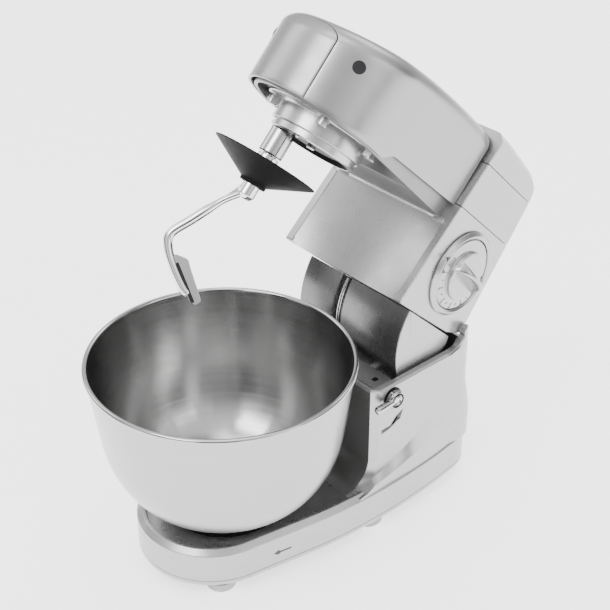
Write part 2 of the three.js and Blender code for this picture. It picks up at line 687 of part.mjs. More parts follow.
function planetaryHousing() {
  const { radius, bore, bottom, flange, flangeTop } = RING
  let body = turned([[9.3, flangeTop - 3.6], [bore, flangeTop - 3.6], [bore, bottom], [radius, bottom],
    [radius, flangeTop - 3.6],
    [flange, flangeTop - 3.6], [flange, flangeTop], [9.3, flangeTop]], 30)
  for (const a of LUG_ANGLES) {
    const [x, y] = polar(49, a)
    body = body.add(disc(5.2, flangeTop - 13, flangeTop - 3, x, y, 12))
  }
  return body
}

const LUG_ANGLES = [220, 310, 25, 130]

function carrier() {
  const r = RING.bore - RUN
  const dish = turned([[0, 231], [26, 231], [r - 3, 228], [r, 228], [r, 236.4], [0, 236.4]], 28)
  const [x, y] = polar(ORBIT, SPINDLE.angle)
  return dish.subtract(disc(SPINDLE.sleeve, 200, 240, x, y)).subtract(disc(6 + GAP, 200, 240))
}

function spindleSleeve() {
  const [x, y] = polar(ORBIT, SPINDLE.angle)
  const r = SPINDLE.radius + RUN
  return turned([[r, SPINDLE.sleeveEnd], [SPINDLE.sleeve - GAP, SPINDLE.sleeveEnd],
    [SPINDLE.sleeve - GAP, 236.4], [r, 236.4]], 28, x, y)
}

function spindle() {
  const [x, y] = polar(ORBIT, SPINDLE.angle)
  return disc(SPINDLE.radius, SPINDLE.tip, 247.5, x, y, 24)
    .subtract(rodX(CROSS_PIN.radius + GAP, -60, 60, y, CROSS_PIN.z, 12))
}

function crossPin() {
  const [x, y] = polar(ORBIT, SPINDLE.angle)
  return rodX(CROSS_PIN.radius, x - CROSS_PIN.half, x + CROSS_PIN.half, y, CROSS_PIN.z, 12)
}

function carrierScrew() {
  return turned([[0, 226.6], [4.4, 226.6], [4.4, 230.6], [0, 230.6]], 16)
}

function mainShaft() {
  return disc(6, 231.2, PULLEY.z - 4, 0, 0, 24)
}

function bearing(y, z0, z1, bore, outer) {
  return turned([[bore, z0], [outer, z0], [outer, z1], [bore, z1]], 24, 0, y)
}

function chassis() {
  const { bottom, thick } = CHASSIS
  const s = new THREE.Shape()
  s.moveTo(50, 204)
  s.lineTo(50, 0)
  s.absarc(0, 0, 50, 0, Math.PI, true)
  s.lineTo(-50, 204)
  const plate = raised(s, bottom, bottom + thick, 0, 12)
  let posts = plate
  for (const [x, y] of [[40, 20], [-40, 20], [0, -40]]) posts = posts.add(disc(4,
    LIP.plate + LIP.thick + GAP, bottom + 1, x, y, 12))
  return posts.subtract(disc(9, 250, 290)).subtract(disc(7.5, 250, 290, 0, COUNTER_Y))
    .subtract(disc(9, 250, 290, 0, MOTOR.y))
}

function counterShaft() {
  return disc(4, CHASSIS.bottom - 4, PULLEY.z + PULLEY.width + 2, 0, COUNTER_Y, 16)
}

function largePulley() {
  const { large, z, width } = PULLEY
  return turned([[4 + GAP, z], [large, z], [large, z + width], [4 + GAP, z + width]], 36, 0, COUNTER_Y)
}

function motorPulley() {
  const { small, z, width } = PULLEY
  return turned([[MOTOR.shaft + GAP, z], [small, z], [small, z + width], [MOTOR.shaft + GAP, z + width]], 24,
    0, MOTOR.y)
}

function beltLoop(offset) {
  const big = PULLEY.large + offset
  const little = PULLEY.small + offset
  const lean = THREE.MathUtils.radToDeg(Math.asin((PULLEY.large - PULLEY.small) / (MOTOR.y - COUNTER_Y)))
  const s = new THREE.Shape()
  s.absarc(0, COUNTER_Y, big, deg(180 - lean), deg(360 + lean), false)
  s.absarc(0, MOTOR.y, little, deg(lean), deg(180 - lean), false)
  return raised(s, PULLEY.z + 0.5, PULLEY.z + PULLEY.width - 0.5, 0, 8)
}

function driveBelt() {
  const inner = beltLoop(GAP)
  return beltLoop(GAP + PULLEY.belt).subtract(inner.translate([0, 0, -1]))
    .subtract(beltLoop(GAP).translate([0, 0, 1]))
}

function motorCan() {
  const { y, radius, bottom, height, shaft } = MOTOR
  const top = bottom + height
  const wall = 3
  const hole = shaft + 3
  return turned([[hole, bottom], [radius, bottom], [radius, top], [hole, top], [hole, top - wall],
    [radius - wall, top - wall],
    [radius - wall, bottom + wall], [hole, bottom + wall]], 22, 0, y)
}

function motorRotor() {
  const { y, bottom, height, shaft } = MOTOR
  const top = PULLEY.z + PULLEY.width + 2
  return turned([[0, bottom - 5], [shaft, bottom - 5], [shaft, bottom + 15], [24, bottom + 15],
    [24, bottom + height - 25],
    [shaft, bottom + height - 25], [shaft, top], [0, top]], 24, 0, y)
}

function motorFan() {
  const { y, bottom, height, shaft } = MOTOR
  const z = bottom + height - 18
  let fan = disc(8, z, z + 8, 0, y, 20)
  for (let i = 0; i < 8; i += 1) {
    const g = new THREE.BoxGeometry(22, 1.4, 8)
    g.translate(17, 0, 0)
    g.rotateZ(deg(45 * i))
    g.translate(0, y, z + 4)
    fan = fan.add(solid(g))
  }
  return fan.subtract(disc(shaft + GAP, z - 1, z + 9, 0, y, 16))
}

function controlBoard() {
  return box(-63.6, -62, 140, 196, 176, 236)
}

// ---------------------------------------------------------------- beater
// Cone that stops dough from climbing the spindle.
function doughShield() {
  const [x, y] = polar(ORBIT, SPINDLE.angle)
  const { radius, rim, apex } = SHIELD
  const bore = HOOK.hub + GAP
  return turned([[bore, apex - 3], [bore + 2, apex - 3], [bore + 2, apex], [radius, rim - 1], [radius, rim],
    [bore + 1, apex + 3.4], [bore, apex + 3.4]], 32, x, y)
}

function doughHook() {
  const [cx, cy] = polar(ORBIT, SPINDLE.angle)
  const { hubTop: top, hub: r, neck, neckTop, hubBottom, bendZ, tipZ, rod, reach, tipReach } = HOOK
  const sideways = polar(1, 40)
  const at = (u, z) => new THREE.Vector3(cx + u * sideways[0], cy + u * sideways[1], z)
  const path = [at(-1, hubBottom + 4), at(-9, hubBottom - 3), at(-reach * 0.6, (hubBottom + bendZ) / 2 + 4),
    at(-reach, bendZ),
    at(-reach * 0.62, (bendZ + tipZ) / 2 + 6), at(0, tipZ + 9), at(tipReach, tipZ + rod)]
  const bore = SPINDLE.radius + RUN
  const seat = SPINDLE.tip - 3
  const hub = turned([[0, hubBottom], [neck - 3, hubBottom], [neck, hubBottom + 3], [neck, neckTop],
    [r, neckTop], [r, top],
    [bore, top], [bore, seat], [0, seat]], 24, cx, cy)
  const slot = CROSS_PIN.radius + RUN
  return tube(path, rod, 8, 16).add(hub).subtract(disc(bore, seat, top + 5, cx, cy))
    .subtract(box(cx - 20, cx + 20, cy - slot, cy + slot, CROSS_PIN.z - slot, top + 5))
}

// ---------------------------------------------------------------- assembly
const assembly = new THREE.Group()

place(assembly, 'base_shell', baseShell(), 'silver')
place(assembly, 'base_plate', basePlate(), 'dark')
FOOT_PLACES.forEach(([x, y], i) => place(assembly, `foot_${i + 1}`, foot(x, y), 'rubber'))
SCREW_PLACES.forEach(([x, y], i) => place(assembly, `base_screw_${i + 1}`, plateScrew(x, y), 'steel'))
place(assembly, 'column_top_plate', columnTopPlate(), 'shade')
place(assembly, 'collar_retainer', collarRetainer(), 'steel')
place(assembly, 'retainer_screw', retainerScrew(), 'steel')
place(assembly, 'bowl_collar', bowlCollar(), 'black')
place(assembly, 'bowl', bowl(), 'steel')
place(assembly, 'bowl_foot', bowlFoot(), 'steel')
place(assembly, 'hinge_pin', hingePin(), 'steel')
place(assembly, 'lock_lever', lockLever(), 'chrome')
place(assembly, 'lever_screw', leverScrew(), 'steel')
place(assembly, 'lock_cam', lockCam(), 'steel')
place(assembly, 'lock_bolt', lockBolt(), 'steel')
place(assembly, 'bolt_guide', boltGuide(), 'nylon')
place(assembly, 'bolt_spring', boltSpring(), 'steel')
place(assembly, 'interlock_switch', interlockSwitch(), 'black')
place(assembly, 'interlock_plunger', interlockPlunger(), 'black')

const head = new THREE.Group()
head.position.set(0, HINGE.y, HINGE.z)
head.rotation.x = -deg(TILT)
const closed = new THREE.Group()
closed.position.set(0, -HINGE.y, -HINGE.z)
head.add(closed)
assembly.add(head)

place(closed, 'lower_casing', lowerCasing(), 'silver')
place(closed, 'rear_panel', rearPanel(), 'silver')
place(closed, 'rear_top_cover', rearTopCover(), 'silver')
place(closed, 'upper_cover', upperCover(), 'silver')
place(closed, 'nose_cover', noseCover(), 'silver')
place(closed, 'side_plug_right', sidePlug(1), 'dark')
place(closed, 'side_plug_left', sidePlug(-1), 'dark')
place(closed, 'drum', drum(), 'shade')
place(closed, 'drum_rod', drumRod(), 'chrome')
place(closed, 'dial_bezel', dialBezel(), 'silver')
place(closed, 'speed_dial', speedDial(), 'silver')
place(closed, 'speed_switch', speedSwitch(), 'black')
place(closed, 'control_board', controlBoard(), 'board')
place(closed, 'chassis', chassis(), 'steel')
place(closed, 'motor_can', motorCan(), 'steel')
place(closed, 'motor_rotor', motorRotor(), 'dark')
place(closed, 'motor_fan', motorFan(), 'nylon')
place(closed, 'motor_pulley', motorPulley(), 'steel')
place(closed, 'drive_belt', driveBelt(), 'black')
place(closed, 'counter_shaft', counterShaft(), 'steel')
place(closed, 'large_pulley', largePulley(), 'nylon')
place(closed, 'drive_pinion', gear(GEAR.pinion, 282, 292, 0, COUNTER_Y, 4 + GAP, 15), 'steel')
place(closed, 'main_gear', gear(GEAR.main, 282, 290, 0, 0, 6 + GAP), 'brass')
place(closed, 'main_shaft', mainShaft(), 'steel')
place(closed, 'lower_bearing', bearing(0, RING.flangeTop - 4, RING.flangeTop + 1, 6 + RUN / 2, 9), 'brass')
place(closed, 'planetary_housing', planetaryHousing(), 'steel')
place(closed, 'ring_gear', ringGear(), 'steel')
place(closed, 'carrier', carrier(), 'steel')
place(closed, 'spindle_sleeve', spindleSleeve(), 'steel')
place(closed, 'carrier_screw', carrierScrew(), 'steel')
const spindlePlace = polar(ORBIT, SPINDLE.angle)
place(closed, 'planet_pinion',
  gear(GEAR.planet, 239, 246, spindlePlace[0], spindlePlace[1], SPINDLE.radius + GAP), 'steel')
place(closed, 'spindle', spindle(), 'chrome')
place(closed, 'cross_pin', crossPin(), 'steel')
place(closed, 'dough_shield', doughShield(), 'black')
place(closed, 'dough_hook', doughHook(), 'chrome')

// The origin is the middle of the footprint's bounding box, on the table.
assembly.updateMatrixWorld(true)
const extent = new THREE.Box3().setFromObject(assembly, true)
const group = new THREE.Group()
assembly.position.set(-(extent.min.x + extent.max.x) / 2, -(extent.min.y + extent.max.y) / 2, -extent.min.z)
group.add(assembly)

export default group
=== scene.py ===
"""Tilt-head stand mixer: visible surfaces, materials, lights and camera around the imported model."""
import json
import math

import bmesh
import bpy
import numpy as np
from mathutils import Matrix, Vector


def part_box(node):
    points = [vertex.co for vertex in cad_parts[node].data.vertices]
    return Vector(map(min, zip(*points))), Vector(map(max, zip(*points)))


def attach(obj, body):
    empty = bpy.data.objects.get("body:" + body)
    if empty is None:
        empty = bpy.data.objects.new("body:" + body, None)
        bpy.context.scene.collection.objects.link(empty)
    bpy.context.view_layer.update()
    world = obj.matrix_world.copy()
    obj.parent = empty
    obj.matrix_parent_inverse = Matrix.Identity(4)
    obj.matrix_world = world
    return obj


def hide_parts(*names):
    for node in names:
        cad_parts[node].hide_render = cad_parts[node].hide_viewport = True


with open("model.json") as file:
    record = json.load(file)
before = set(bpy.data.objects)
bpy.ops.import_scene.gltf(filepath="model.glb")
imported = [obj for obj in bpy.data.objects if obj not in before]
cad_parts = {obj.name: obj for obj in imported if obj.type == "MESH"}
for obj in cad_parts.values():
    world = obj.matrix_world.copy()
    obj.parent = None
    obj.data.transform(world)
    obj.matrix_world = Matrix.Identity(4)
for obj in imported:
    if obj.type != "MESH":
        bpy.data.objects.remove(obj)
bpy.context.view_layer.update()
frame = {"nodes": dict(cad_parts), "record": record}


# ---------------------------------------------------------------- the frame, in millimetres
# Shapes are drawn about the bowl's axis, with the head closed, and head_pose() tilts the head's pieces open.
MM = 0.001
JOINTS = {joint["name"]: joint for joint in frame["record"]["behaviour"]["joints"]}


def pivot(name):
    """A hinge's point, in millimetres from the bowl's axis."""
    return np.array(JOINTS[name]["pos_m"]) / MM - np.array([0, BOWL_Y, 0])


BOWL_Y = JOINTS["collar_turn"]["pos_m"][1] / MM
HINGE = pivot("head_tilt")
TILT = math.radians(-JOINTS["head_tilt"]["range_deg"][0])


def stand_pose(points):
    """Drawn place to the model's frame, in metres, for what stands on the table."""
    return (points + np.array([0, BOWL_Y, 0])) * MM


def head_pose(points):
    """Turns the drawn points about the hinge's X axis by the head's opening, then as stand_pose."""
    away = points - HINGE
    c, s = math.cos(TILT), math.sin(TILT)
    y = c * away[..., 1] + s * away[..., 2]
    z = c * away[..., 2] - s * away[..., 1]
    return stand_pose(np.stack([away[..., 0], y, z], -1) + HINGE)


def packed(name):
    """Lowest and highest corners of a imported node, in millimetres."""
    return (np.array(corner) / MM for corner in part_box(name))


def closed_place(name):
    """A head joint's point with the head closed: the opening turned back about the hinge."""
    away = pivot(name) - HINGE
    c, s = math.cos(TILT), math.sin(TILT)
    return np.array([away[0], c * away[1] - s * away[2], s * away[1] + c * away[2]]) + HINGE


# ---------------------------------------------------------------- outlines
def fillet(points, radii, steps=6, closed=True, keep=0.25):
    """Polyline whose corners become arcs.

    At a corner with unit directions a and b to its neighbours, the arc of radius r touches both sides at r / tan(half
    angle) from the corner. keep adds a point just outside each end of the arc, so that flat faces stay flat.
    """
    points = np.asarray(points, float)
    if np.isscalar(radii):
        radii = [radii] * len(points)
    out = []
    last = len(points) - 1
    for i, corner in enumerate(points):
        r = radii[i]
        if r <= 0 or (not closed and i in (0, last)):
            out.append(corner[None])
            continue
        a = points[i - 1] - corner
        b = points[(i + 1) % len(points)] - corner
        la, lb = np.linalg.norm(a), np.linalg.norm(b)
        a, b = a / la, b / lb
        half = math.acos(np.clip(a @ b, -1, 1)) / 2
        reach = min(r / math.tan(half), 0.48 * la, 0.48 * lb)
        r = reach * math.tan(half)
        middle = corner + (a + b) / np.linalg.norm(a + b) * (r / math.sin(half))
        start, end = corner + a * reach - middle, corner + b * reach - middle
        turn = math.pi - 2 * half
        t = np.linspace(0, 1, steps + 1)[:, None]
        arc = middle + (np.sin((1 - t) * turn) * start + np.sin(t * turn) * end) / max(math.sin(turn), 1e-9)
        out += [(corner + a * (reach + keep))[None], arc, (corner + b * (reach + keep))[None]]
    return np.concatenate(out)


def dense(points, step, closed=True):
    """The same polyline with its long sides divided so that no side is longer than step."""
    ends = np.roll(points, -1, 0) if closed else points[1:]
    starts = points if closed else points[:-1]
    out = []
    for p, q in zip(starts, ends):
        n = max(1, int(np.ceil(np.linalg.norm(q - p) / step)))
        out.append(p + (q - p) * (np.arange(n) / n)[:, None])
    if not closed:
        out.append(points[-1:])
    return np.concatenate(out)


def arc(radius, first, last, n, centre=(0, 0)):
    """n points of a circle, from one angle to another in degrees."""
    a = np.radians(np.linspace(first, last, n))
    return np.stack([centre[0] + radius * np.cos(a), centre[1] + radius * np.sin(a)], 1)


def spline(points, n):
    """Catmull-Rom curve through the points, n steps to a side: the cubic whose slopes are half the chord across."""
    p = np.asarray(points, float)
    p = np.concatenate([2 * p[:1] - p[1:2], p, 2 * p[-1:] - p[-2:-1]])
    t = (np.arange(n) / n)[:, None, None]
    a, b, c, d = p[None, :-3], p[None, 1:-2], p[None, 2:-1], p[None, 3:]
    q = 0.5 * (2 * b + (c - a) * t + (2 * a - 5 * b + 4 * c - d) * t**2 + (3 * b - a - 3 * c + d) * t**3)
    q = q.transpose(1, 0, 2).reshape(-1, p.shape[1])
    return np.concatenate([q, p[-2:-1]])


def inset(outline, depth):
    """Anticlockwise outline moved inwards by depth along the mitre of its two sides."""
    ahead = np.roll(outline, -1, 0) - outline
    ahead /= np.maximum(np.linalg.norm(ahead, axis=1, keepdims=True), 1e-9)
    normal = np.stack([-ahead[:, 1], ahead[:, 0]], 1)
    before = np.roll(normal, 1, 0)
    both = normal + before
    return outline + depth * both / np.maximum((both * normal).sum(1, keepdims=True), 0.3)


def soft_step(t):
    """Smooth step: 3t^2 - 2t^3 between 0 and 1."""
    t = np.clip(t, 0, 1)
    return t * t * (3 - 2 * t)


# ---------------------------------------------------------------- surfaces
def capped(rings):
    """Rings closed at both ends by their own middle points."""
    first = np.repeat(rings[:1].mean(1, keepdims=True), rings.shape[1], 1)
    last = np.repeat(rings[-1:].mean(1, keepdims=True), rings.shape[1], 1)
    return np.concatenate([first, rings, last])


def slab(outline, levels, place=None):
    """Rings of an outline: for each (depth, height) the outline moved in by depth, at that height, and capped."""
    rings = np.stack([np.column_stack([inset(outline, d), np.full(len(outline), h)]) for d, h in levels])
    rings = capped(rings)
    return rings if place is None else place(rings)


def edges(low, high, radius, steps=4):
    """Levels of a slab from low to high with round edges of the radius."""
    a = np.radians(np.linspace(0, 90, steps + 1))
    d, h = radius * (1 - np.sin(a)), radius * (1 - np.cos(a))
    keep = 0.3
    up = list(zip(d, low + h))
    down = list(zip(d[::-1], high - h[::-1]))
    flat = [(0, low + radius + keep), (0, high - radius - keep)]
    return [(radius + keep, low), *up, *flat, *down, (radius + keep, high)]


def on_x(rings):
    """Side outlines (y, z) with their height along X."""
    return rings[..., [2, 0, 1]]


def turned(profile, n=96, centre=(0, 0), closed=False):
    """Surface of revolution about Z: each (radius, z) of the profile swept round a circle about the centre."""
    profile = np.asarray(profile, float)
    if closed:
        profile = np.concatenate([profile, profile[:1]])
    a = np.linspace(0, 2 * math.pi, n, endpoint=False)
    r, z = profile[:, :1], profile[:, 1:]
    x, y = centre[0] + r * np.cos(a), centre[1] + r * np.sin(a)
    return np.stack([x, y, np.broadcast_to(z, x.shape)], -1)


def swept(path, across, up, n=20):
    """Tube along a path whose section is an ellipse: half width across along one unit vector, up along the other.

    path is (k, 3); across and up are (k,) half sizes. The section's frame is the path's direction crossed with Y.
    """
    path = np.asarray(path, float)
    along = np.gradient(path, axis=0)
    along /= np.linalg.norm(along, axis=1, keepdims=True)
    side = np.broadcast_to(np.array([0.0, 1.0, 0.0]), path.shape)
    side = side - (side * along).sum(1, keepdims=True) * along
    side /= np.linalg.norm(side, axis=1, keepdims=True)
    other = np.cross(along, side)
    a = np.linspace(0, 2 * math.pi, n, endpoint=False)
    ring = (np.cos(a)[None, :, None] * side[:, None] * np.asarray(across)[:, None, None]
            + np.sin(a)[None, :, None] * other[:, None] * np.asarray(up)[:, None, None])
    return capped(path[:, None] + ring)


def quads(rows, columns, start):
    """Index quads between neighbouring rows and columns, the columns joining up."""
    i, j = np.meshgrid(np.arange(rows - 1), np.arange(columns), indexing="ij")
    k = (j + 1) % columns
    face = np.stack([i * columns + j, i * columns + k, (i + 1) * columns + k, (i + 1) * columns + j], -1)
    return face.reshape(-1, 4) + start


def piece(name, body, materials, grids, stands_for=(), pose=stand_pose, sharp=38, marks=None):
    """Object from closed ring grids: whole arrays into one mesh, doubles merged, faces turned outwards.

    marks gives each grid its material's index.
    """
    points = np.concatenate([grid.reshape(-1, 3) for grid in grids])
    faces, which, start = [], [], 0
    for n, grid in enumerate(grids):
        quad = quads(grid.shape[0], grid.shape[1], start)
        faces.append(quad)
        which.append(np.full(len(quad), marks[n] if marks else 0))
        start += grid.shape[0] * grid.shape[1]
    mesh = bpy.data.meshes.new(name)
    mesh.from_pydata(pose(points).tolist(), [], np.concatenate(faces).tolist())
    mesh.polygons.foreach_set("material_index", np.concatenate(which).astype(np.int32))
    tidy = bmesh.new()
    tidy.from_mesh(mesh)
    bmesh.ops.remove_doubles(tidy, verts=tidy.verts, dist=2e-6)
    bmesh.ops.dissolve_degenerate(tidy, edges=tidy.edges, dist=1e-7)
    bmesh.ops.recalc_face_normals(tidy, faces=tidy.faces)
    tidy.to_mesh(mesh)
    tidy.free()
    for material in materials:
        mesh.materials.append(material)
    mesh.shade_smooth()
    mesh.set_sharp_from_angle(angle=math.radians(sharp))
    made = bpy.data.objects.new(name, mesh)
    bpy.context.scene.collection.objects.link(made)
    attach(made, body)
    if stands_for:
        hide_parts(*stands_for)
    return made


def faces_at(made, tilted=False):
    """Centres of a piece's faces as drawn, in millimetres, and their normals."""
    centre, normal = (np.empty(len(made.data.polygons) * 3) for _ in range(2))
    made.data.polygons.foreach_get("center", centre)
    made.data.polygons.foreach_get("normal", normal)
    centre = centre.reshape(-1, 3) / MM - np.array([0, BOWL_Y, 0])
    normal = normal.reshape(-1, 3)
    if tilted:
        c, s = math.cos(TILT), math.sin(TILT)
        back = np.array([[1, 0, 0], [0, c, -s], [0, s, c]]).T
        centre, normal = (centre - HINGE) @ back + HINGE, normal @ back
    return centre, normal


def recolour(made, where, index):
    """Gives the faces that the mask picks another of the piece's materials."""
    which = np.empty(len(made.data.polygons), np.int32)
    made.data.polygons.foreach_get("material_index", which)
    which[where] = index
    made.data.polygons.foreach_set("material_index", which)


# ---------------------------------------------------------------- materials
class Nodes:
    """Adds nodes to a new material and wires them."""

    def __init__(self, name):
        self.material = bpy.data.materials.new(name)
        self.material.use_nodes = True
        self.tree = self.material.node_tree
        self.shader = self.tree.nodes["Principled BSDF"]
        self.place = self.add("ShaderNodeTexCoord").outputs["Object"]

    def add(self, kind, **sockets):
        node = self.tree.nodes.new(kind)
        for name, value in sockets.items():
            self.set(node.inputs[name.replace("_", " ")], value)
        return node

    def set(self, socket, value):
        if isinstance(value, bpy.types.NodeSocket):
            self.tree.links.new(value, socket)
        else:
            socket.default_value = value

    def noise(self, scale, stretch=(1, 1, 1), turn=(0, 0, 0), detail=3.0):
        """Noise on the piece's own place, turned and stretched."""
        mapping = self.add("ShaderNodeMapping", Vector=self.place, Scale=stretch, Rotation=turn)
        return self.add("ShaderNodeTexNoise", Vector=mapping.outputs[0], Scale=scale, Detail=detail).outputs[0]

    def between(self, value, low, high, start=0.25, end=0.75):
        """A value carried from start..end to low..high."""
        node = self.add("ShaderNodeMapRange", Value=value)
        for key, number in zip(("From Min", "From Max", "To Min", "To Max"), (start, end, low, high)):
            node.inputs[key].default_value = number
        return node.outputs[0]

    def mix(self, factor, first, second):
        """Colour between two others."""
        node = self.tree.nodes.new("ShaderNodeMix")
        node.data_type = "RGBA"
        for socket, value in zip((node.inputs[0], node.inputs[6], node.inputs[7]), (factor, first, second)):
            self.set(socket, value)
        return node.outputs[2]

    def bump(self, height, strength, distance, under=None):
        """Relief of a height in metres, over another one."""
        node = self.add("ShaderNodeBump", Height=height, Strength=strength, Distance=distance)
        if under is not None:
            self.set(node.inputs["Normal"], under)
        return node.outputs[0]

    def done(self, **sockets):
        for name, value in sockets.items():
            self.set(self.shader.inputs[name.replace("_", " ")], value)
        return self.material


def grey(level, warmth=0.0):
    """Neutral colour of a level, slightly warm or cool."""
    return (level * (1 + warmth), level, level * (1 - warmth), 1)


def satin_paint(name, level, metallic, rough, worn=0.12):
    """Silver lacquer: fine flakes, slow changes of shade, orange peel, patches rubbed a little brighter."""
    n = Nodes(name)
    flakes = n.between(n.noise(5200, detail=1.0), 0.0, 1.0, 0.35, 0.65)
    drift = n.between(n.noise(9), 0.0, 1.0)
    base = n.mix(drift, grey(level * 0.965, -0.004), grey(level * 1.02, 0.002))
    base = n.mix(n.between(flakes, 0.0, 0.03, 0, 1), base, grey(min(1, level * 1.28)))
    rubbed = n.between(n.noise(22, detail=3.0), 0.0, worn, 0.5, 0.75)
    base = n.mix(rubbed, base, grey(min(1, level * 1.25)))
    roughness = n.between(n.noise(60), rough - 0.035, rough + 0.045)
    peel = n.bump(n.noise(420, detail=0.0), 0.012, 0.00002)
    return n.done(Base_Color=base, Metallic=metallic, Roughness=roughness, Normal=peel)


def polished(name, level, rough, haze=0.03):
    """Chrome or polished steel: almost a mirror, with faint haze, fine scuffs and fingerprints."""
    n = Nodes(name)
    haze_map = n.noise(35, detail=4.0)
    scuffs = n.noise(260, (1, 1, 6), detail=5.0)
    base = n.mix(n.between(haze_map, 0, 1), grey(level * 0.95), grey(level))
    roughness = n.between(haze_map, rough, rough + haze)
    return n.done(Base_Color=base, Metallic=1.0, Roughness=roughness, Normal=n.bump(scuffs, 0.05, 0.00002))


def brushed(name, level, rough, stretch, turn=(0, 0, 0), strength=0.2):
    """Steel with straight brush marks: noise stretched along one direction."""
    n = Nodes(name)
    marks = n.noise(700, stretch, turn, detail=4.0)
    wide = n.noise(40, stretch, turn)
    base = n.mix(n.between(marks, 0, 1), grey(level * 0.86), grey(level))
    roughness = n.between(wide, rough - 0.04, rough + 0.07)
    return n.done(Base_Color=base, Metallic=1.0, Roughness=roughness, Normal=n.bump(marks, strength, 0.00003))


def spun_steel(name, level, rough, strength):
    """Spun steel: the marks are rings, noise read at (distance from the axis, height) and hardly along the turn."""
    n = Nodes(name)
    centred = n.add("ShaderNodeMapping", Vector=n.place)
    centred.inputs["Location"].default_value = (0, -BOWL_Y * MM, 0)
    split = n.add("ShaderNodeSeparateXYZ", Vector=centred.outputs[0])
    flat = n.add("ShaderNodeCombineXYZ", X=split.outputs[0], Y=split.outputs[1])
    length = n.tree.nodes.new("ShaderNodeVectorMath")
    length.operation = "LENGTH"
    n.set(length.inputs[0], flat.outputs[0])
    rings = n.add("ShaderNodeCombineXYZ", X=length.outputs["Value"], Y=split.outputs[2])
    marks = n.add("ShaderNodeTexNoise", Vector=rings.outputs[0], Scale=1100.0, Detail=1.0).outputs[0]
    wide = n.add("ShaderNodeTexNoise", Vector=rings.outputs[0], Scale=260.0, Detail=1.0).outputs[0]
    blotch = n.noise(14, detail=2.0)
    base = n.mix(n.between(marks, 0, 1), grey(level * 0.94, 0.006), grey(level, 0.004))
    base = n.mix(n.between(blotch, 0.0, 0.12), base, grey(level * 0.85))
    roughness = n.between(wide, rough - 0.02, rough + 0.03)
    flip = n.add("ShaderNodeMapping", Vector=flat.outputs[0], Rotation=(0, 0, math.pi / 2))
    world = n.tree.nodes.new("ShaderNodeVectorTransform")
    world.vector_type, world.convert_from, world.convert_to = "VECTOR", "OBJECT", "WORLD"
    n.set(world.inputs[0], flip.outputs[0])
    return n.done(Base_Color=base, Metallic=1.0, Roughness=roughness, Anisotropic=0.88, Anisotropic_Rotation=0.25,
                  Tangent=world.outputs[0], Normal=n.bump(marks, strength, 0.00002))


def plastic(name, colour, rough, grain=1400.0, relief=0.18):
    """Moulded plastic or rubber: fine spark-eroded grain, slow shade changes, scuffed a little brighter."""
    n = Nodes(name)
    drift = n.noise(18)
    lighter = tuple(min(1, c * 1.25 + 0.006) for c in colour[:3]) + (1,)
    base = n.mix(n.between(drift, 0, 0.6), colour, lighter)
    scuffs = n.between(n.noise(150, (1, 4, 1), detail=6.0), 0.0, 0.35, 0.62, 0.75)
    base = n.mix(scuffs, base, lighter)
    roughness = n.between(n.noise(70), rough - 0.06, rough + 0.08)
    shine = 0.04 if colour[0] < 0.03 else 0.4
    return n.done(Base_Color=base, Roughness=roughness, Specular_IOR_Level=shine,
                  Normal=n.bump(n.noise(grain, detail=2.0), relief, 0.00003))


PAINT = satin_paint("satin_silver_paint", 0.42, 0.80, 0.28)
COVER_PAINT = satin_paint("satin_silver_cover", 0.35, 0.80, 0.30)
# Darker copy of the body's silver paint for the tray floor: painted shade from the bowl, not a different paint.
TRAY_SHADE_PAINT = satin_paint("satin_silver_tray_painted_shade", 0.34, 0.80, 0.28)
# Darker copy of the silver paint for the column's front faces and top plate: painted shade and painted reflection of
# the bowl.
COLUMN_SHADE_PAINT = satin_paint("satin_silver_column_painted_shade", 0.24, 0.80, 0.30)
# Darker copy of the silver paint for the drum's curved face: painted shade and painted reflection.
DRUM_SHADE_PAINT = satin_paint("satin_drum_painted_shade", 0.17, 0.85, 0.27)
# Darker copy of the silver paint for the pan under the head: painted shade in the recess.
PAN_SHADE_PAINT = satin_paint("satin_silver_pan_painted_shade", 0.24, 0.75, 0.34)
CHROME = polished("polished_chrome", 0.52, 0.05)
BRIGHT = polished("bright_steel", 0.55, 0.14)
CAST = satin_paint("cast_aluminium_satin", 0.50, 0.92, 0.25)
HOOK_STEEL = polished("hook_chrome", 0.80, 0.12)
STEEL = brushed("brushed_steel", 0.74, 0.28, (8, 0.5, 0.5))
BOWL_OUT = spun_steel("spun_steel_satin", 0.44, 0.19, 0.01)
RIM_STEEL = polished("rolled_steel_rim", 0.45, 0.10)
BLACK = plastic("black_moulding", (0.006, 0.006, 0.006, 1), 0.46)
CHARCOAL = plastic("charcoal_moulding", (0.022, 0.022, 0.023, 1), 0.42)
GREY_PLASTIC = plastic("grey_moulding", (0.16, 0.16, 0.165, 1), 0.45)
RUBBER = plastic("grey_rubber", (0.36, 0.36, 0.365, 1), 0.72, 800, 0.3)
NYLON = plastic("natural_nylon", (0.78, 0.76, 0.70, 1), 0.5)
BELT = plastic("belt_rubber", (0.02, 0.02, 0.02, 1), 0.7, 900, 0.3)
BOARD = plastic("board_green", (0.03, 0.16, 0.06, 1), 0.5)
BRONZE = brushed("sintered_bronze", 0.5, 0.36, (1, 1, 1))
DIAL_SILVER = satin_paint("dial_silver", 0.42, 0.85, 0.24)
INK = plastic("printed_ink", (0.05, 0.05, 0.055, 1), 0.5)

SLOT_FINISH = {
    "shell": PAINT, "head_cover": COVER_PAINT, "steel": STEEL, "bowl_steel": BOWL_OUT, "chrome": CHROME, "cast": CAST,
    "dark_plastic": CHARCOAL, "grey_plastic": GREY_PLASTIC, "dial_plastic": DIAL_SILVER, "nylon": NYLON,
    "rubber": RUBBER, "belt": BELT, "bronze": BRONZE, "board": BOARD,
}


def finish_frame_nodes():
    """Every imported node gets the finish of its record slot."""
    for entry in frame["record"]["subparts"]:
        node = frame["nodes"][entry["node"]]
        finish = SLOT_FINISH[entry["material_slot"]]
        for target in node.material_slots:
            target.material = finish
        if not node.material_slots:
            node.data.materials.append(finish)


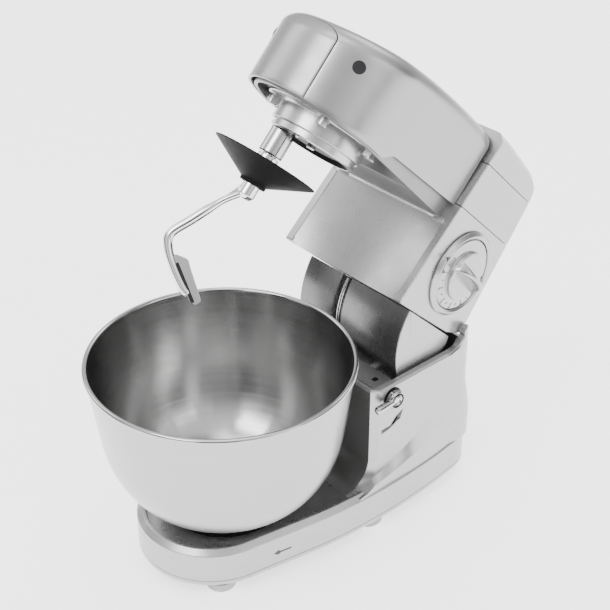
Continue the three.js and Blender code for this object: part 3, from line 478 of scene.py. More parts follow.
# ---------------------------------------------------------------- base and column
BASE_BOTTOM, BASE_RIM, TRAY = 12.0, 51.0, 48.0
NOSE_R, NOSE_Y, BASE_REAR = 70.0, -15.0, 252.0
COLUMN_HALF, COLUMN_FRONT, COLUMN_REAR = 77.5, 113.0, 242.0
COLUMN_TOP, COLUMN_TOP_REAR = 152.6, 155.0
OPENING_HALF, OPENING_FRONT, OPENING_REAR, EAR_R = 69.5, 118.0, 236.5, 6.3


def base_side():
    """Right half of the base's plan: an arc, a spline through the swelling side, and a quadratic rear corner."""
    nose = arc(NOSE_R, -90, -6, 40, (0, NOSE_Y))
    swell = spline([nose[-1], (77.5, 24), (82.5, 57), (85.2, 92), (86, 128), (84.6, 160), (82.4, 190), (79, 216)], 9)
    t = np.linspace(0, 1, 16)[1:, None]
    corner = (1 - t)**2 * np.array([79, 216]) + 2 * t * (1 - t) * np.array([76, BASE_REAR]) + t**2 * np.array(
        [50, BASE_REAR])
    return np.concatenate([nose, swell[1:], corner])


def mirrored(side):
    """A right half and its mirror image, anticlockwise."""
    left = side[::-1] * np.array([-1, 1])
    return np.concatenate([side, left[np.abs(left[:, 0]) > 1e-6]])


def base_body():
    """The base's plan carried up a profile: round lower edge, parting groove, wall, bright band, tray floor."""
    profile = fillet([(14, BASE_BOTTOM), (0.4, BASE_BOTTOM), (0, 17.4), (0.6, 17.7), (0.6, 18.2), (0, 18.5), (0, 46.4),
                      (5.4, BASE_RIM), (8.0, BASE_RIM), (8.7, TRAY)], [0, 4.0, 0, 0, 0, 0, 1.5, 1.6, 0.7, 0],
                     9, closed=False)
    band = slab(mirrored(base_side()), [tuple(p) for p in profile])
    return band[:-1]


def tray_floor():
    """Flat floor inside the band: the plan moved in, from the foot of the band to a thin underside."""
    levels = [(9.5, TRAY - 3), (8.9, TRAY - 2.5), (8.6, TRAY - 0.4), (9.4, TRAY - 0.05), (12, TRAY)]
    return slab(mirrored(base_side()), levels)


def column_outline(depth, half, front, rear, chamfer, rounding, counts=(40, 8, 90, 14, 40)):
    """Plan of a box with chamfered front corners and round rear ones, each side with a set number of points."""
    n_front, n_corner, n_side, n_rear_corner, n_rear = counts
    half, front, rear = half - depth, front + depth, rear - depth
    a = np.stack([np.linspace(0, half - chamfer, n_front // 2), np.full(n_front // 2, front)], 1)
    b = np.stack([np.linspace(half - chamfer, half, n_corner), np.linspace(front, front + chamfer, n_corner)], 1)
    c = np.stack([np.full(n_side, half), np.linspace(front + chamfer, rear - rounding, n_side)], 1)
    d = arc(rounding, 0, 90, n_rear_corner, (half - rounding, rear - rounding))
    e = np.stack([np.linspace(half - rounding, 0, n_rear // 2), np.full(n_rear // 2, rear)], 1)
    right = np.concatenate([a, b, c, d, e])
    left = right[::-1] * np.array([-1, 1])
    return np.concatenate([right, left])


def top_height(y):
    """The column's top, rising a little towards the rear."""
    return COLUMN_TOP + (np.clip(y, COLUMN_FRONT, 212) - COLUMN_FRONT) / 99 * (COLUMN_TOP_REAR - COLUMN_TOP)


def column_shell():
    """The column's plan carried up, swept forwards at its foot and flared at its sides and rear.

    The front moves forwards by r - sqrt(r^2 - h^2), with h below the sweep's top. Between the two creases the sides
    move out linearly to the base's own plan.
    """
    plan = column_outline(0, COLUMN_HALF, COLUMN_FRONT, COLUMN_REAR, 6.5, 16)
    sweep_r = 28.0
    side = base_side()
    body_half = np.interp(plan[:, 1], side[:, 1], side[:, 0])
    upper = np.interp(plan[:, 1], [98, 128, 182, 224, 242], [47, 62, 89, 106, 112])
    lower = np.interp(plan[:, 1], [100, 154, 210, 235], [50, 64, 72, 81])
    top = top_height(plan[:, 1]) - 1.8
    steps = [46.5 + (lower - 46.5) * t for t in np.linspace(0, 1, 8)[:-1]]
    steps += [lower + (upper - lower) * t for t in np.linspace(0, 1, 9)[:-1]]
    steps += [upper + (top - upper) * t**1.7 for t in np.linspace(0, 1, 30)]
    rings = []
    for z in steps:
        h = np.clip(BASE_RIM - 2 + sweep_r - z, 0, sweep_r)
        forward = (sweep_r - np.sqrt(np.maximum(sweep_r**2 - h**2, 0))) * soft_step((165 - plan[:, 1]) / 45)
        flare = np.clip((upper - z) / np.maximum(upper - lower, 3), 0, 1)
        near_side = np.clip((np.abs(plan[:, 0]) - COLUMN_HALF + 6.5) / 6.5, 0, 1)
        out = near_side * np.maximum(body_half - 1.6 - COLUMN_HALF, 0) * flare
        corner = soft_step((plan[:, 1] - 205) / 30)
        rear = np.where(plan[:, 1] > COLUMN_REAR - 17, 1, 0) * np.clip((116 - z) / 38, 0, 1) * 8.2
        x = plan[:, 0] + np.sign(plan[:, 0]) * out * (1 - 0.5 * corner)
        y = plan[:, 1] - forward + rear * soft_step((plan[:, 1] - 222) / 18)
        rings.append(np.stack([x, y, z], 1))
    return np.stack(rings)


def column():
    """Outer shell, bright bevelled top edge, wall of the drum's opening and its floor."""
    outer = column_shell()
    rows = [outer]
    for depth, drop in [(0.0, 1.6), (1.0, 0.7), (2.4, 0.0), (2.8, 0.0)]:
        plan = column_outline(depth, COLUMN_HALF, COLUMN_FRONT, COLUMN_REAR, 6.5, 16)
        rows.append(np.column_stack([plan, top_height(plan[:, 1]) - drop])[None])
    for depth, drop in [(-0.7, 0.0), (-0.3, 0.15), (0.0, 0.8), (0.0, 34.0)]:
        plan = column_outline(depth, OPENING_HALF, OPENING_FRONT, OPENING_REAR, 1.5, 2)
        rows.append(np.column_stack([plan, top_height(plan[:, 1]) - drop])[None])
    return capped(np.concatenate(rows))


def hinge_ear(side):
    """Side outline of the ear, hull of the column's top and a circle about the hinge, carried across the wall."""
    y, z = HINGE[1], HINGE[2]
    round_top = arc(EAR_R, -20, 196, 30, (y, z))
    outline = np.concatenate([round_top, [(219.0, 157.4), (207.0, 154.4), (203.0, 151.0), (241.8, 151.0)]])
    low, high = (OPENING_HALF + 0.1, COLUMN_HALF - 0.05) if side > 0 else (-COLUMN_HALF + 0.05, -OPENING_HALF - 0.1)
    rings = slab(dense(outline, 1.5), edges(low, high, 1.4), on_x)
    over = np.maximum(np.abs(rings[..., 0]) - (COLUMN_HALF - 16), 0)
    limit = COLUMN_REAR - 16 + np.sqrt(np.maximum(16**2 - over**2, 1))
    rings[..., 1] = np.minimum(rings[..., 1], limit)
    return rings


def casing_arrow():
    """Printed arrow under the lever: a spline that tapers from a swallow tail to a barbed head, 0.2 mm proud."""
    middle = spline([(121.4, 106.8), (129.0, 107.0), (137.0, 109.4), (143.0, 114.0)], 6)
    along = np.gradient(middle, axis=0)
    along /= np.linalg.norm(along, axis=1, keepdims=True)
    side = np.stack([-along[:, 1], along[:, 0]], 1) * np.linspace(1.9, 0.9, len(middle))[:, None]
    head = np.array([(145.6, 111.6), (149.0, 120.8), (140.6, 116.8)])
    outline = np.concatenate([middle - side, head, (middle + side)[::-1], [(122.9, 106.9)]])
    return slab(outline, [(0, COLUMN_HALF - 0.3), (0, COLUMN_HALF + 0.18), (0.05, COLUMN_HALF + 0.2)], on_x)


def lock_arrow():
    """Straight arrow on the base's side for the bowl's twist lock, bent to the base's own plan."""
    outline = np.array([(-9.0, 0.0), (-4.5, 2.6), (-4.5, 0.8), (9.0, 0.8), (9.0, -0.8), (-4.5, -0.8), (-4.5, -2.6)])
    outline = dense(outline[::-1], 1.2)
    side = base_side()
    length = np.concatenate([[0], np.cumsum(np.linalg.norm(np.diff(side, axis=0), axis=1))])
    rings = slab(outline, [(0, -0.4), (0, 0.18), (0.1, 0.2)])
    along = rings[..., 0] + 131.0
    x, y = np.interp(along, length, side[:, 0]), np.interp(along, length, side[:, 1])
    step = 0.5
    dx = np.interp(along + step, length, side[:, 0]) - x
    dy = np.interp(along + step, length, side[:, 1]) - y
    size = np.hypot(dx, dy)
    return np.stack([x + dy / size * rings[..., 2], y - dx / size * rings[..., 2], 30.0 + rings[..., 1]], -1)


def build_base():
    body = [base_body(), tray_floor(), column(), hinge_ear(1), hinge_ear(-1)]
    # The tray floor takes the darker tray copy of the paint: painted shade under the bowl.
    casing = piece("base_casing", "base", [PAINT, TRAY_SHADE_PAINT, COLUMN_SHADE_PAINT], body, ["base_shell"],
                   marks=[0, 1, 0, 0, 0], sharp=13)
    # Front faces of the column above the tray take the darker copy: painted shade and painted reflection, the same
    # paint as the sides.
    at, facing = faces_at(casing)
    front = (facing[:, 1] < -0.3) | ((facing[:, 2] > 0.3) & (at[:, 1] < COLUMN_FRONT))
    inside = (np.abs(at[:, 0]) < COLUMN_HALF - 7) & (at[:, 2] > TRAY + 0.2) & (at[:, 2] < COLUMN_TOP - 2)
    recolour(casing, front & inside & (at[:, 1] < COLUMN_FRONT + 3) & (at[:, 1] > 70), 2)
    piece("lever_arrow", "base", [INK], [casing_arrow()])
    piece("twist_arrow", "base", [INK], [lock_arrow()])
    plate = np.array([(-OPENING_HALF + 0.3, 118.3), (OPENING_HALF - 0.3, 118.3), (OPENING_HALF - 0.3, 141.8),
                      (-OPENING_HALF + 0.3, 141.8)])
    # The top plate takes the same darker copy of the silver paint: painted shade and painted reflection.
    piece("column_plate", "base", [COLUMN_SHADE_PAINT],
          [slab(fillet(plate, 2.0, 4), edges(150.6, 152.75, 0.5))], ["column_top_plate"])
    slot = np.array([(56.5, 127), (61.5, 127), (61.5, 133), (56.5, 133)])
    piece("interlock_slot", "base", [BLACK], [slab(fillet(slot, 0.7, 3), edges(151.9, 152.79, 0.1))])
    for i in range(1, 7):
        low, high = packed(f"foot_{i}")
        middle = (low + high)[:2] / 2 - np.array([0, BOWL_Y])
        r = (high - low)[1] / 2
        profile = fillet([(0, 0), (r - 4.2, 0), (r - 0.2, 4.0), (r - 0.2, 11.6), (0, 11.6)], [0, 2.0, 3.0, 0.4, 0],
                         5, closed=False)
        piece(f"rubber_foot_{i}", "base", [RUBBER], [turned(profile, 56, middle)], [f"foot_{i}"])


# ---------------------------------------------------------------- bowl
BOWL_WALL, BOWL_ROLL = 1.2, 2.4


def bowl_profile(bottom, top, radius):
    """Outer wall: a flat disc, an elliptical quarter up to 80 degrees, its tangent, and a rolled rim."""
    flat, bulge, centre = 40.0, 70.0, 150.0
    a = np.radians(np.linspace(0, 80, 40))
    wall = np.stack([flat + bulge * np.sin(a), centre - (centre - bottom) * np.cos(a)], 1)
    slope = bulge / (math.tan(math.radians(80)) * (centre - bottom))
    roll_z = top - BOWL_ROLL
    up = np.linspace(0, 1, 12)[1:, None]
    end = np.array([wall[-1, 0] + slope * (roll_z - 1.9 - wall[-1, 1]), roll_z - 1.9])
    straight = wall[-1] + (end - wall[-1]) * up
    roll = arc(BOWL_ROLL, -48, 168, 16, (radius - BOWL_ROLL, roll_z))
    outer = np.concatenate([[(0, bottom), (34, bottom)], wall[1:], straight])
    inner = outer[::-1] + np.array([-BOWL_WALL, 0.7])
    inner[:, 0] = np.maximum(inner[:, 0], 0)
    inner[-2:] = [(34, bottom + BOWL_WALL), (0, bottom + BOWL_WALL)]
    return outer, roll, inner


def build_bowl():
    low, high = packed("bowl")
    outer, roll, inner = bowl_profile(low[2], high[2], (high - low)[0] / 2)
    profile = np.concatenate([outer, roll, inner])
    made = piece("mixing_bowl", "bowl", [BOWL_OUT, RIM_STEEL], [turned(profile, 192)], ["bowl"])
    recolour(made, faces_at(made)[0][:, 2] > high[2] - 2 * BOWL_ROLL - 0.3, 1)
    foot_low, foot_high = packed("bowl_foot")
    r = (foot_high - foot_low)[0] / 2
    z0, z1 = foot_low[2], foot_high[2]
    ring = fillet([(r - 12, z0), (r, z0), (r - 0.6, z1 + 0.4), (r - 12, z1 - 0.4)], [0, 1.2, 0.6, 0], 5)
    piece("bowl_foot_ring", "bowl", [RIM_STEEL], [turned(ring, 128, closed=True)], ["bowl_foot"])
    low, high = packed("bowl_collar")
    r = (high - low)[1] / 2 - 0.1
    z0, z1 = low[2], high[2]
    ring = fillet([(31, z0), (r, z0), (r, z1), (35, z1), (35, z0 + 2), (31, z0 + 2)],
                  [0.3, 0.8, 1.4, 0.5, 0.3, 0.3], 4)
    piece("twist_collar", "collar", [BLACK], [turned(ring, 128, closed=True)], ["bowl_collar"])


# ---------------------------------------------------------------- lever
def build_lever():
    y, z = pivot("lever_turn")[1:]
    x = COLUMN_HALF + 0.35

    def side_on(rings):
        """A turned piece with its axis along X through the lever's pivot."""
        return np.stack([rings[..., 2] + x, y + rings[..., 0], z + rings[..., 1]], -1)

    boss = fillet([(3.9, 0), (9.0, 0), (9.0, 5.4), (7.6, 7.0), (5.4, 7.0), (3.9, 4.8)],
                  [0, 0.8, 1.6, 1.6, 1.2, 0.5], 5)
    shank = fillet([(0, -15.2), (3.9, -15.2), (3.9, 0.4), (0, 0.4)], [0, 0.6, 0, 0], 4, closed=False)
    t = np.linspace(0, 1, 26)
    end_y = list(packed("lock_lever"))[0][1] - BOWL_Y
    path = np.stack([x + 5.2 + 1.3 * t, y - 5 - (y - 5 - end_y - 0.3) * t, z + 0 * t], 1)
    grow = np.sqrt(np.clip(1 - ((t - 0.88) / 0.121)**2, 0.0, 1)) * (t > 0.88) + (t <= 0.88)
    size = (3.0 + 1.0 * soft_step(t * 1.3)) * np.maximum(grow, 0.03)
    ring = np.linspace(0, 2 * math.pi, 24, endpoint=False)
    handle = capped(np.stack([path[:, :1] + np.cos(ring) * size[:, None], np.repeat(path[:, 1:2], 24, 1),
                              path[:, 2:] + np.sin(ring) * size[:, None]], -1))
    piece("lever_handle", "lever", [CHROME],
          [side_on(turned(boss, 64, closed=True)), side_on(turned(shank, 32)), handle], ["lock_lever"])
    cap = fillet([(0, 4.6), (3.5, 4.6), (3.5, 6.2), (0, 7.4)], [0, 0.3, 1.5, 0], 6, closed=False)
    seat = fillet([(9.15, -0.3), (10.3, -0.3), (10.3, 0.5), (9.15, 0.5)], 0.1, 2)
    groove = fillet([(5.5, 5.2), (7.4, 5.2), (7.4, 7.12), (5.5, 7.12)], 0.1, 2)
    piece("lever_shadow", "lever", [BLACK],
          [side_on(turned(seat, 48, closed=True)), side_on(turned(groove, 48, closed=True))])
    piece("lever_cap", "lever", [BRIGHT], [side_on(turned(cap, 40))], ["lever_screw"])


# ---------------------------------------------------------------- neck and rear casings
NECK_HALF, NECK_FRONT, NECK_BOTTOM, NECK_REAR = 77.7, 115.9, 155.2, 236.2
NECK_LEAN, REAR_LEAN, TAPER, STRIP = 0.057, 0.112, 0.082, 8.6
SEAM_LOW, SEAM_HIGH, SEAM_GAP = 256.0, 300.0, 0.35
COVER_HALF, COVER_NOSE_Y, COVER_NOSE = 69.1, -6.0, 74.0


def lip_z(y):
    """Lower edge of the pan under the head."""
    return 238.6 + (NECK_FRONT - y) * 0.06


def neck_front(z):
    return NECK_FRONT + (z - NECK_BOTTOM) * NECK_LEAN


def neck_rear(z):
    return NECK_REAR - (z - NECK_BOTTOM) * REAR_LEAN


def neck_taper(points):
    """Narrows x by the neck's taper with distance behind its front."""
    out = points.copy()
    out[..., 0] *= (NECK_HALF - (points[..., 1] - NECK_FRONT) * TAPER) / NECK_HALF
    return out


def across_neck(outline, edge, steps):
    """Side outline carried from side to side with round edges and steps in between, then tapered."""
    levels = edges(-NECK_HALF, NECK_HALF, edge, 4)
    middle = len(levels) // 2
    mouth = NECK_HALF - STRIP
    between = np.concatenate([[-mouth - 0.5], np.linspace(-mouth + 0.1, mouth - 0.1, steps), [mouth + 0.5]])
    return neck_taper(slab(outline, levels[:middle] + [(0, x) for x in between] + levels[middle:], on_x))


def scooped(points):
    """Front face hollowed between two flat strips: a parabola across, deepest on the middle line and at the bottom.

    The depth goes from 12.5 mm at the neck's bottom to 2.6 mm at the pan's lip, and each strip's edge is a small step.
    """
    out = points.copy()
    x, y, z = out[..., 0], out[..., 1], out[..., 2]
    mouth = NECK_HALF - STRIP
    depth = 12.5 + (z - NECK_BOTTOM) * (2.6 - 12.5) / (lip_z(NECK_FRONT) - NECK_BOTTOM)
    hollow = neck_front(z) + 0.7 + depth * (1 - (x / mouth)**2)
    inside = (z < lip_z(120)) & (y < hollow) & (np.abs(x) < mouth)
    out[..., 1] = np.where(inside, hollow, y)
    return out


def neck_block():
    """Neck casing from its side outline, scooped at the front."""
    outline = [(NECK_FRONT, NECK_BOTTOM), (212, NECK_BOTTOM + 1.6), (226, HINGE[2] - 7.5), (neck_rear(164), 164),
               (neck_rear(SEAM_LOW), SEAM_LOW - SEAM_GAP), (neck_front(SEAM_LOW), SEAM_LOW - SEAM_GAP)]
    outline = dense(fillet(outline, [2.2, 6, 4, 4, 1.3, 1.3], 5), 2.6)
    return scooped(across_neck(outline, 0.9, 76))


def rear_block():
    """Casing between the two seams."""
    low, high = SEAM_LOW, SEAM_HIGH
    outline = [(neck_front(low), low), (neck_rear(low), low), (neck_rear(high), high), (neck_front(high), high)]
    return across_neck(dense(fillet(outline, 1.3, 4), 6), 0.9, 12)


def rear_top():
    """Rounded top casing: its side outline ends in two quadratic curves, its upper side edges are rounded by 11 mm."""
    low = SEAM_HIGH + SEAM_GAP
    t = np.linspace(0, 1, 14)[:, None]
    a, b, c = np.array([neck_rear(313), 313]), np.array([neck_rear(318), 322.6]), np.array([205, 324.0])
    turn = (1 - t)**2 * a + 2 * t * (1 - t) * b + t**2 * c
    d, e = np.array([160, 329.6]), np.array([neck_front(330), 330.2])
    crown = (1 - t)**2 * c + 2 * t * (1 - t) * d + t**2 * e
    outline = np.concatenate([[(neck_front(low), low), (neck_rear(low), low)], turn, crown[1:]])
    rings = across_neck(dense(outline, 5), 0.8, 60)
    r = 11.0
    crown_z = np.interp(rings[..., 1], crown[::-1, 0], crown[::-1, 1])
    crown_z = np.where(rings[..., 1] > 205, np.interp(rings[..., 1], turn[::-1, 0], turn[::-1, 1]), crown_z)
    half = NECK_HALF - (rings[..., 1] - NECK_FRONT) * TAPER
    over = np.clip((np.abs(rings[..., 0]) - (half - r)) / r, 0, 1)
    drop = r * (1 - np.sqrt(np.maximum(1 - over**2, 0)))
    rings[..., 2] = np.minimum(rings[..., 2], np.maximum(crown_z - drop, low))
    return rings


def u_outline(depth, rear, n_side=40, n_nose=90):
    """Open outline of the cover's plan: a straight side, half an ellipse, the other side; depth shrinks all of it."""
    share = 1 - depth / COVER_HALF
    half = COVER_HALF * share
    y = np.linspace(rear, COVER_NOSE_Y, n_side)
    right = np.stack([np.full(n_side, half), y], 1)
    a = np.linspace(0, math.pi, n_nose)
    nose = np.stack([half * np.cos(a), COVER_NOSE_Y - COVER_NOSE * share * np.sin(a)], 1)
    return np.concatenate([right, nose[1:-1], right[::-1] * np.array([-1, 1])])


def crown_z(y):
    """Height of the cover's ridge: a parabola-like crown through the nose, the middle and the rear."""
    front, rear = COVER_NOSE_Y - COVER_NOSE - 5, neck_front(SEAM_LOW)
    t = np.clip((y - front) / (rear - front), 0, 1)
    return (1 - t)**2 * 317 + 2 * t * (1 - t) * 335.5 + t**2 * 327.5


def cover_edge(y):
    """Lower edge of the cover: the lip's line, stepping up to a level finger recess behind y = 2."""
    low = lip_z(y) + 1
    return low + (254.0 - low) * soft_step((y - 2) / 17)


def cover_skin():
    """Cover's outer skin: U outlines up the side, over a shoulder of radius 17 and in to the ridge."""
    rear = neck_front(SEAM_LOW) - 0.6
    shoulder = 17.0
    a = np.radians(np.linspace(0, 90, 12))
    levels = [(0.0, t) for t in np.linspace(0, 1, 14)]
    levels += [(shoulder * (1 - math.cos(b)), 1 + math.sin(b)) for b in a[1:]]
    levels += [(d, 2.0) for d in np.linspace(shoulder, COVER_HALF - 0.4, 18)[1:]]

    def height(points, share, depth):
        y = points[:, 1]
        top, low = crown_z(y), cover_edge(y)
        if share <= 1:
            return low + (top - shoulder - low) * share
        ease = (depth - shoulder) / (COVER_HALF - shoulder)
        sag = 2.6 * np.clip(1 - ease, 0, 1)**2 if share >= 2 else 2.6
        return top - sag - (shoulder - 2.6 if share < 2 else 0) * (2 - share)

    outer = []
    for depth, share in levels:
        plan = u_outline(depth, rear)
        outer.append(np.column_stack([plan, height(plan, share, depth)]))
    return np.stack(outer)


def half_cut(made, keep_front):
    """Cuts a piece at the nose seam and keeps one side."""
    seam = head_pose(np.array([0.0, -72.0 + (0 if keep_front else 0.45), 290.0]))
    normal = head_pose(np.array([0.0, -71.0, 290.0])) - head_pose(np.array([0.0, -72.0, 290.0]))
    cut = bmesh.new()
    cut.from_mesh(made.data)
    bmesh.ops.bisect_plane(cut, geom=cut.verts[:] + cut.edges[:] + cut.faces[:], plane_co=seam,
                           plane_no=normal / np.linalg.norm(normal), clear_outer=keep_front,
                           clear_inner=not keep_front)
    cut.to_mesh(made.data)
    cut.free()


def open_sheet(name, body, material, grid, stands_for, thickness, keep_front):
    """Cover skin from an open grid of rows, given its wall by Solidify."""
    rows, columns = grid.shape[:2]
    i, j = np.meshgrid(np.arange(rows - 1), np.arange(columns - 1), indexing="ij")
    a = i * columns + j
    faces = np.stack([a, a + 1, a + columns + 1, a + columns], -1).reshape(-1, 4)
    mesh = bpy.data.meshes.new(name)
    mesh.from_pydata(head_pose(grid.reshape(-1, 3)).tolist(), [], faces.tolist())
    tidy = bmesh.new()
    tidy.from_mesh(mesh)
    bmesh.ops.remove_doubles(tidy, verts=tidy.verts, dist=2e-6)
    bmesh.ops.recalc_face_normals(tidy, faces=tidy.faces)
    up = head_pose(np.array([0.0, 0, 400.0])) - head_pose(np.array([0.0, 0, 300.0]))
    crown = max(tidy.faces, key=lambda f: float(np.array(f.calc_center_median()) @ up))
    if float(np.array(crown.normal) @ up) < 0:
        bmesh.ops.reverse_faces(tidy, faces=tidy.faces)
    tidy.to_mesh(mesh)
    tidy.free()
    mesh.materials.append(material)
    made = bpy.data.objects.new(name, mesh)
    bpy.context.scene.collection.objects.link(made)
    half_cut(made, keep_front)
    mesh.shade_smooth()
    wall = made.modifiers.new("wall", "SOLIDIFY")
    wall.thickness = thickness * MM
    wall.offset = -1
    edge = made.modifiers.new("edge", "BEVEL")
    edge.width = 0.5 * MM
    edge.segments = 2
    edge.limit_method = "ANGLE"
    edge.angle_limit = math.radians(50)
    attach(made, body)
    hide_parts(stands_for)
    return made


# ---------------------------------------------------------------- the pan under the head
PAN_INSET, PAN_WALL, PAN_FLOOR, PAN_END = 6.0, 3.4, 255.0, 62.0


def pan_band():
    """Lip of the pan: the plan's wall down to the lip's line, its underside, and up inside to the pan's floor."""
    rear = neck_front(246) + 1
    rows = []
    profile = [(PAN_INSET + 0.2, 14, 1), (PAN_INSET, 1.4, 0), (PAN_INSET + 0.4, 0.4, 0), (PAN_INSET + 1.2, 0, 0),
               (PAN_INSET + PAN_WALL - 0.8, 0, 0), (PAN_INSET + PAN_WALL, 0.8, 0), (PAN_INSET + PAN_WALL, 14, 1)]
    for depth, rise, fixed in profile + profile[:1]:
        plan = u_outline(depth, rear)
        z = lip_z(plan[:, 1]) + rise
        if fixed:
            z = np.maximum(z, 259.0)
        rows.append(np.column_stack([plan, z]))
    rows = np.stack(rows).transpose(1, 0, 2)
    return capped(rows[:, :-1])


def pan_floor():
    """Flat floor of the pan, from side to side."""
    plan = u_outline(PAN_INSET + PAN_WALL - 0.6, PAN_END + 6)
    return slab(plan[::-1], [(0, PAN_FLOOR + 2.5), (0, PAN_FLOOR), (0.5, PAN_FLOOR)][::-1])


def pan_rear():
    """Closed underside behind the planetary head, with a concave front wall, down to the lip's line."""
    n = 60
    x = np.linspace(-1, 1, n)
    half = COVER_HALF - PAN_INSET - 0.4
    front = np.stack([x * half, PAN_END - 3.5 * (1 - x**2) + 2], 1)
    rear = np.array([(half, neck_front(246) + 3), (-half, neck_front(246) + 3)])
    outline = dense(np.concatenate([front, rear]), 4)
    rings = []
    for depth, z in [(0, 262), (0, 1.2), (0.4, 0.35), (1.2, 0.0)]:
        plan = inset(outline, depth)
        rings.append(np.column_stack([plan, np.where(z > 100, z, lip_z(plan[:, 1]) + z)]))
    return capped(np.stack(rings))


# ---------------------------------------------------------------- drum
DRUM_R, DRUM_HALF, DRUM_FROM, DRUM_TO = 86.0, 67.0, 186.0, 252.0
GROOVE_DEPTH, GROOVE_HALF, ROD_X = 6.0, 6.0, -15.0


def drum_body():
    """Sector about the hinge carried across; a groove lowers the radius between two steps."""
    y, z = HINGE[1], HINGE[2]
    curve = arc(1.0, DRUM_FROM, DRUM_TO, 70)
    top = NECK_BOTTOM - 0.4

    def outline(depth):
        r = DRUM_R - depth
        points = curve * r + np.array([y, z])
        points[:, 1] = np.minimum(points[:, 1], top)
        inner = np.linspace(points[-1], [y - 9, top - 8], 12)[1:]
        over = np.linspace([y - 12, top], points[0], 20)[:-1]
        return np.concatenate([points, inner, over])

    sides = edges(-DRUM_HALF, DRUM_HALF, 1.6)
    step = 0.8
    left, right = ROD_X - GROOVE_HALF, ROD_X + GROOVE_HALF
    groove = [(0, left - step), (0.3, left - 0.2), (GROOVE_DEPTH, left), (GROOVE_DEPTH, right), (0.3, right + 0.2),
              (0, right + step)]
    half = len(sides) // 2
    rows = []
    for d, x in sides[:half] + groove + sides[half:]:
        plan = outline(d)
        rows.append(np.column_stack([np.full(len(plan), x), plan]))
    return capped(np.stack(rows))


def build_drum():
    y, z = HINGE[1], HINGE[2]
    skin = piece("drum_skin", "head", [DRUM_SHADE_PAINT, PAINT], [drum_body()], ["drum"], pose=head_pose,
                 sharp=30)
    # Only the flat sides take the body's paint; the curved face keeps the darker copy as painted shade and reflection.
    recolour(skin, np.abs(faces_at(skin, tilted=True)[1][:, 0]) > 0.7, 1)
    curve = arc(DRUM_R - 2.6, DRUM_FROM + 4, DRUM_TO - 4, 50, (y, z))
    path = np.column_stack([np.full(len(curve), ROD_X), curve])
    ring = np.linspace(0, 2 * math.pi, 20, endpoint=False)
    out = (path[:, 1:] - np.array([y, z])) / (DRUM_R - 2.6)
    r = 2.0
    rod = np.stack([ROD_X + r * np.cos(ring)[None] + 0 * path[:, :1],
                    path[:, 1:2] + r * np.sin(ring) * out[:, :1], path[:, 2:] + r * np.sin(ring) * out[:, 1:]], -1)
    piece("groove_rod", "head", [CHROME], [capped(rod)], ["drum_rod"], pose=head_pose)


# ---------------------------------------------------------------- head
def build_head():
    casing = [neck_block(), pan_band(), pan_floor(), pan_rear()]
    # The pan's band, floor and rear underside take the darker pan copy of the paint: painted shade under the head.
    piece("neck_casing", "head", [PAINT, PAN_SHADE_PAINT], casing, ["lower_casing"], pose=head_pose, sharp=32,
          marks=[0, 1, 1, 1])
    piece("rear_casing", "head", [PAINT], [rear_block()], ["rear_panel"], pose=head_pose, sharp=32)
    piece("rear_casing_top", "head", [PAINT], [rear_top()], ["rear_top_cover"], pose=head_pose, sharp=40)
    skin = cover_skin()
    open_sheet("head_cover", "head", COVER_PAINT, skin, "upper_cover", 2.6, False)
    open_sheet("head_nose", "head", COVER_PAINT, skin, "nose_cover", 2.6, True)
    middle = np.array([49.6, -53.4, 294.5])
    out = np.array([0.80, -0.60, 0.0])
    t = np.linspace(0, 90, 12)
    dome = np.stack([6.2 * np.cos(np.radians(t)), 1.5 + 2.6 * np.sin(np.radians(t))], 1)
    profile = np.concatenate([[(0, -3), (5.2, -3), (5.4, 0.6), (6.2, 1.0)], dome])
    for side, name in ((1, "right"), (-1, "left")):
        rings = turned(profile, 40)
        across = np.array([-out[1], out[0], 0.0])
        place = (middle + rings[..., :1] * across + rings[..., 1:2] * np.array([0, 0, 1.0]) + rings[..., 2:] * out)
        place[..., 0] *= side
        piece(f"side_button_{name}", "head", [CHARCOAL], [place], [f"side_plug_{name}"],
              pose=head_pose)


# ---------------------------------------------------------------- planetary head
RING_R, RING_BORE, RING_LOW, FLANGE, FLANGE_TOP = 42.5, 40.0, 234.0, 56.0, 254.6


